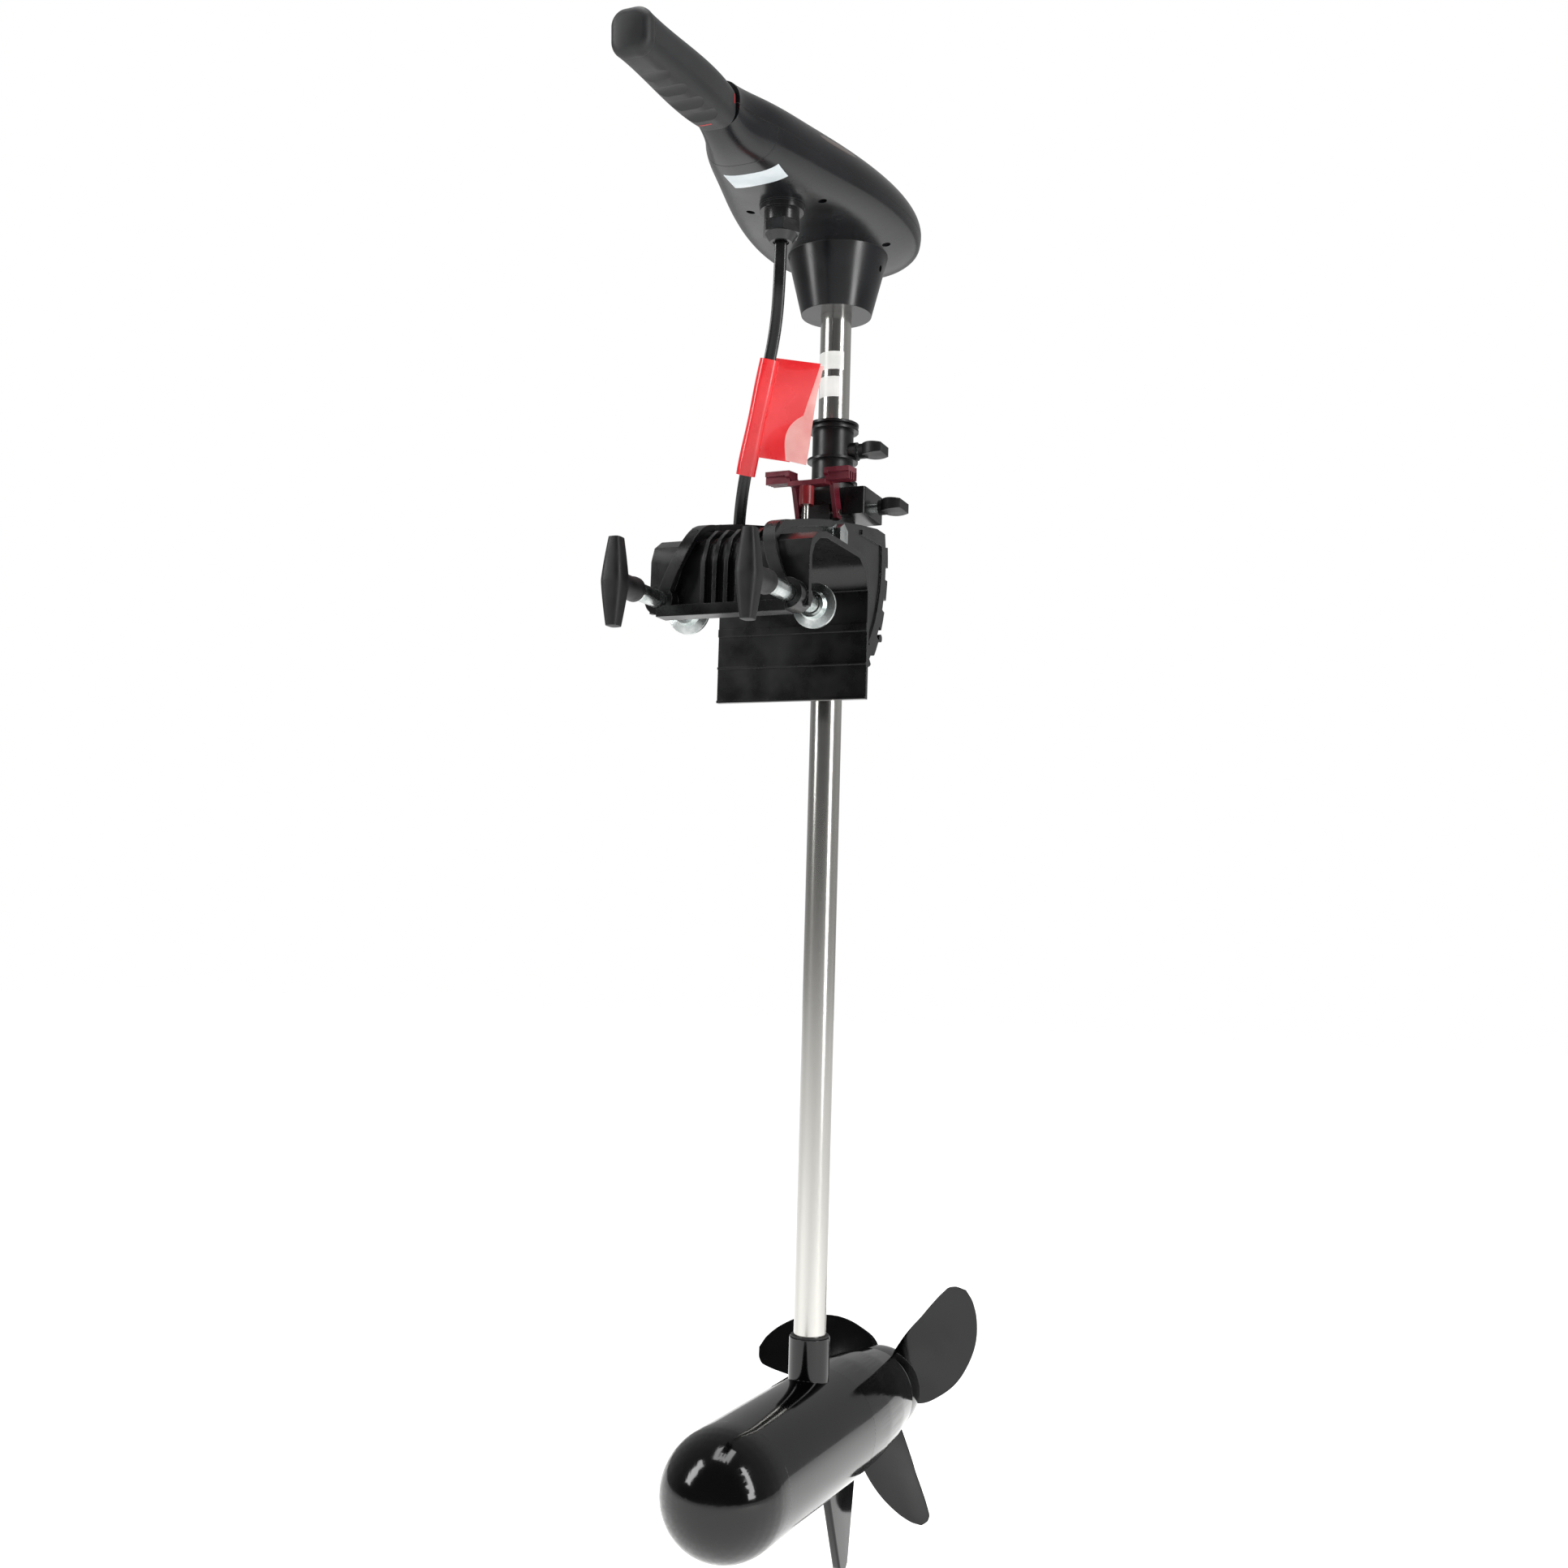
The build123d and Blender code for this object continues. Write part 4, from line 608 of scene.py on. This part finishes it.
def makeIndexMarks(c):
    # two short printed arcs round the grip's root, cast inward on the tiller's axis
    tree = treeOf("tiller_grip")
    tilt = math.radians(c["tilt"])
    ahead = np.array([0, -math.cos(tilt), -math.sin(tilt)])
    above = np.array([0, -math.sin(tilt), math.cos(tilt)])
    parts = []
    for middle, reach, offset in c["marks"]:
        a = np.radians(middle + np.linspace(-reach, reach, 20))[None, :, None]
        along = np.array(c["root"]) + ahead * np.linspace(offset, offset + c["wide"], 4)[:, None]
        out = np.cos(a) * np.array([1.0, 0, 0]) + np.sin(a) * above
        starts = along[:, None, :] + c["standOff"] * out
        p, f = filmSlab(*laidOn(tree, starts, -out + 0 * starts, c["lift"]))
        parts.append((p * mm, f))
    place(newPiece("gripIndexMarks", *join(parts)), bodyOf["tiller_grip"], c["finish"], slotOf["tiller_grip"])


def makeSideWindow(c):
    # a slim smoked window let into the cover's flank: a pointed oval, its rows cast inward
    tree = treeOf("head_top_cover")
    u = np.linspace(0, 1, 40)
    front, rear = np.array(c["front"]), np.array(c["rear"])
    middle = front + (rear - front) * u[:, None]
    half = c["half"] * np.sqrt(np.clip(1 - (2 * u - 1) ** 4, 0, 1)) + 0.05
    inward = np.array(c["inward"], float)
    inward /= np.linalg.norm(inward)
    across = np.cross(inward, [0, 1, 0])
    across /= np.linalg.norm(across)
    rows = [middle - inward * c["standOff"] + across * half[:, None] * v for v in np.linspace(-1, 1, 9)]
    starts = np.stack(rows, axis=1)
    p, f = filmSlab(*laidOn(tree, starts, np.zeros_like(starts) + inward, c["lift"]))
    place(newPiece("sideWindow", p * mm, f), bodyOf["head_top_cover"], c["finish"], slotOf["indicator_lens"])


makeSerialLabel("serialLabel", laid["serialLabel"])
makeIndexMarks(laid["gripIndexMarks"])
makeSideWindow(laid["sideWindow"])
makeShaftLabels(laid["shaftLabels"])

# seam lines: painted shade of the parting grooves, a dark bead hardly proud of the surface, along a closed or open
# run of points
seams = {
    "width": 0.9, "proud": 0.06, "headNodes": ("head_top_cover", "head_lower_housing", "nose_collar"),
    # the parting line is cast inward from an oval round the head, toward a run along its middle
    "partingZ": 342.45, "ovalY": 10, "ovalHalf": (230, 260), "middleHalf": 95,
    # the collar's line is cast inward from an arc round the nose
    "collarY": -117.05, "collarZ": 340.45, "arcR": 80, "arc": (-184, 4),
}


def band(name, starts, directions, tree, proud, node, finish, closed):
    top, bottom = laidOn(tree, starts, directions, proud)
    if closed:
        piece = skin(np.concatenate([top, bottom[::-1], top[:1]]), caps=False)
    else:
        piece = filmSlab(top, bottom)
    place(newPiece(name, piece[0] * mm, piece[1]), bodyOf[node], finish, slotOf[node])


def makeSeams(c):
    tree = treeOf(*c["headNodes"])
    a = np.linspace(0, 2 * math.pi, 240, endpoint=False)
    centre = np.array([0, c["ovalY"], c["partingZ"]])
    wide, long = c["ovalHalf"]
    ring = centre + np.stack([wide * np.sin(a), long * np.cos(a), 0 * a], axis=-1)
    inward = centre + np.stack([0 * a, c["middleHalf"] * np.cos(a), 0 * a], axis=-1) - ring
    inward /= np.linalg.norm(inward, axis=1, keepdims=True)
    across = np.array([[0, 0, -c["width"] / 2], [0, 0, c["width"] / 2]])
    starts = ring[None] + across[:, None]
    # a dark bead as painted shade in the parting groove round the head
    band("partingLineShade", starts, np.zeros_like(starts) + inward[None], tree, c["proud"],
         "head_lower_housing", "blackAcetal", True)
    b = np.radians(np.linspace(*c["arc"], 90))
    ring = np.stack([c["arcR"] * np.cos(b), 0 * b + c["collarY"], c["collarZ"] + c["arcR"] * np.sin(b)], axis=-1)
    inward = np.stack([-np.cos(b), 0 * b, -np.sin(b)], axis=-1)
    across = np.array([[0, -c["width"] / 2, 0], [0, c["width"] / 2, 0]])
    starts = ring[None] + across[:, None]
    # a dark bead as painted shade in the groove behind the nose collar
    band("collarLineShade", starts, np.zeros_like(starts) + inward[None], tree, c["proud"],
         "nose_collar", "blackAcetal", False)


makeSeams(seams)
print("labels and seams made")

# ---- every shown CAD node in its finish ----
finishOf = {
    "mouldedNylon": ["clamp_bracket", "tilt_block", "tilt_lock_yoke"],
    "grainedNylon": ["tension_knob", "collar_knob"],
    "blackAcetal": ["thrust_washer", "depth_collar", "shaft_bushes"],
    "charcoalAbs": ["head_lower_housing", "head_top_cover", "nose_collar"],
    "softGrip": ["tiller_grip", "grip_end_cap"],
    "pvcJacket": ["cable_gland", "gland_nut", "motor_wires", "speed_switch"],
    "brushedStainless": ["shaft_tube", "lever_pivot_pin", "lock_plunger", "head_screws", "shaft_cross_bolt",
                         "motor_shaft", "shear_pin", "prop_nut", "prop_washer", "tiller_rod", "motor_bearings"],
    "zincPlate": ["clamp_screw_left", "clamp_screw_right", "clamp_pad_left", "clamp_pad_right",
                  "clamp_screw_inserts", "tilt_pivot_bolt", "tilt_pivot_nut_and_washers", "tension_stud",
                  "collar_screw"],
    "bakedEnamel": ["motor_shell", "nose_cone", "rear_end_cap", "skeg"],
    "maroonNylon": ["tilt_lock_lever"],
    "redNylon": ["plunger_cap"],
    "smokedLens": ["indicator_lens"],
}
hidden = {
    "bareCopper": ["armature", "commutator"], "groundFerrite": ["magnets"],
    "nitrileRubber": ["gland_seal", "o_rings", "shaft_seal", "brushes", "brush_holder"],
}
for finish, nodes in hidden.items():
    for node in nodes:
        mesh = frame["nodes"][node].data
        mesh.materials.clear()
        mesh.materials.append(materials[finish])
for finish, nodes in finishOf.items():
    for node in nodes:
        refine(node, bodyOf[node], finish, slotOf[node])
print("CAD pieces finished")

# ---- floor, light and world ----
stageSize = {"floorDrop": 0.03, "floorHalf": 9.0, "glow": 0.86}
lamps = {
    "keyLeft": {"spot": (-1.5, -1.3, 0.9), "aim": (0, 0, -0.1), "size": (0.5, 1.6), "watts": 28},
    "fillRight": {"spot": (1.6, -0.5, 0.4), "aim": (0, 0, -0.2), "size": (0.35, 1.8), "watts": 22},
    "topSoft": {"spot": (0.0, -0.3, 1.9), "aim": (0, 0, 0), "size": (1.2, 1.0), "watts": 24},
}


def makeStage(s):
    z = cadBox[0][2] - s["floorDrop"]
    h = s["floorHalf"]
    floor = newPiece("floor", [(-h, -h, z), (h, -h, z), (h, h, z), (-h, h, z)], [(0, 1, 2, 3)])
    material = bpy.data.materials.new("paperFloor")
    material.use_nodes = True
    shader = material.node_tree.nodes["Principled BSDF"]
    shader.inputs["Base Color"].default_value = linear("F4F4F2")
    shader.inputs["Roughness"].default_value = 0.9
    shader.inputs["Emission Color"].default_value = linear("FFFFFF")
    shader.inputs["Emission Strength"].default_value = s["glow"]
    floor.data.materials.append(material)


def makeWorld():
    # white to the eye; what the surfaces see is a white studio with a darker front of the room
    world = bpy.data.worlds.new("studio")
    bpy.context.scene.world = world
    world.use_nodes = True
    tree = world.node_tree
    tree.nodes.clear()
    direction = add(tree, "TexCoord").outputs["Generated"]
    parts = add(tree, "SeparateXYZ", {}, {"Vector": direction})
    depth = add(tree, "MapRange", {"From Min": -0.55, "From Max": 0.65, "To Min": 0.10, "To Max": 0.42},
                {"Value": parts.outputs["Y"]})
    ray = add(tree, "LightPath").outputs["Is Camera Ray"]
    strength = add(tree, "MapRange", {"From Min": 0, "From Max": 1, "To Max": 1.0},
                   {"Value": ray, "To Min": depth.outputs["Result"]})
    back = add(tree, "Background", {"Color": (1, 1, 1, 1)}, {"Strength": strength.outputs["Result"]})
    add(tree, "OutputWorld", {}, {"Surface": back.outputs["Background"]})


def softbox(name, spot, aim, size, watts):
    data = bpy.data.lights.new(name, "AREA")
    data.shape = "RECTANGLE"
    data.size, data.size_y = size
    data.energy = watts
    lamp = bpy.data.objects.new(name, data)
    lamp.location = spot
    lamp.rotation_euler = (Vector(aim) - Vector(spot)).to_track_quat("-Z", "Y").to_euler()
    bpy.context.scene.collection.objects.link(lamp)


makeStage(stageSize)
makeWorld()
for name, lamp in lamps.items():
    softbox(name, **lamp)
bpy.context.scene.view_settings.view_transform = "Standard"
print("stage made")
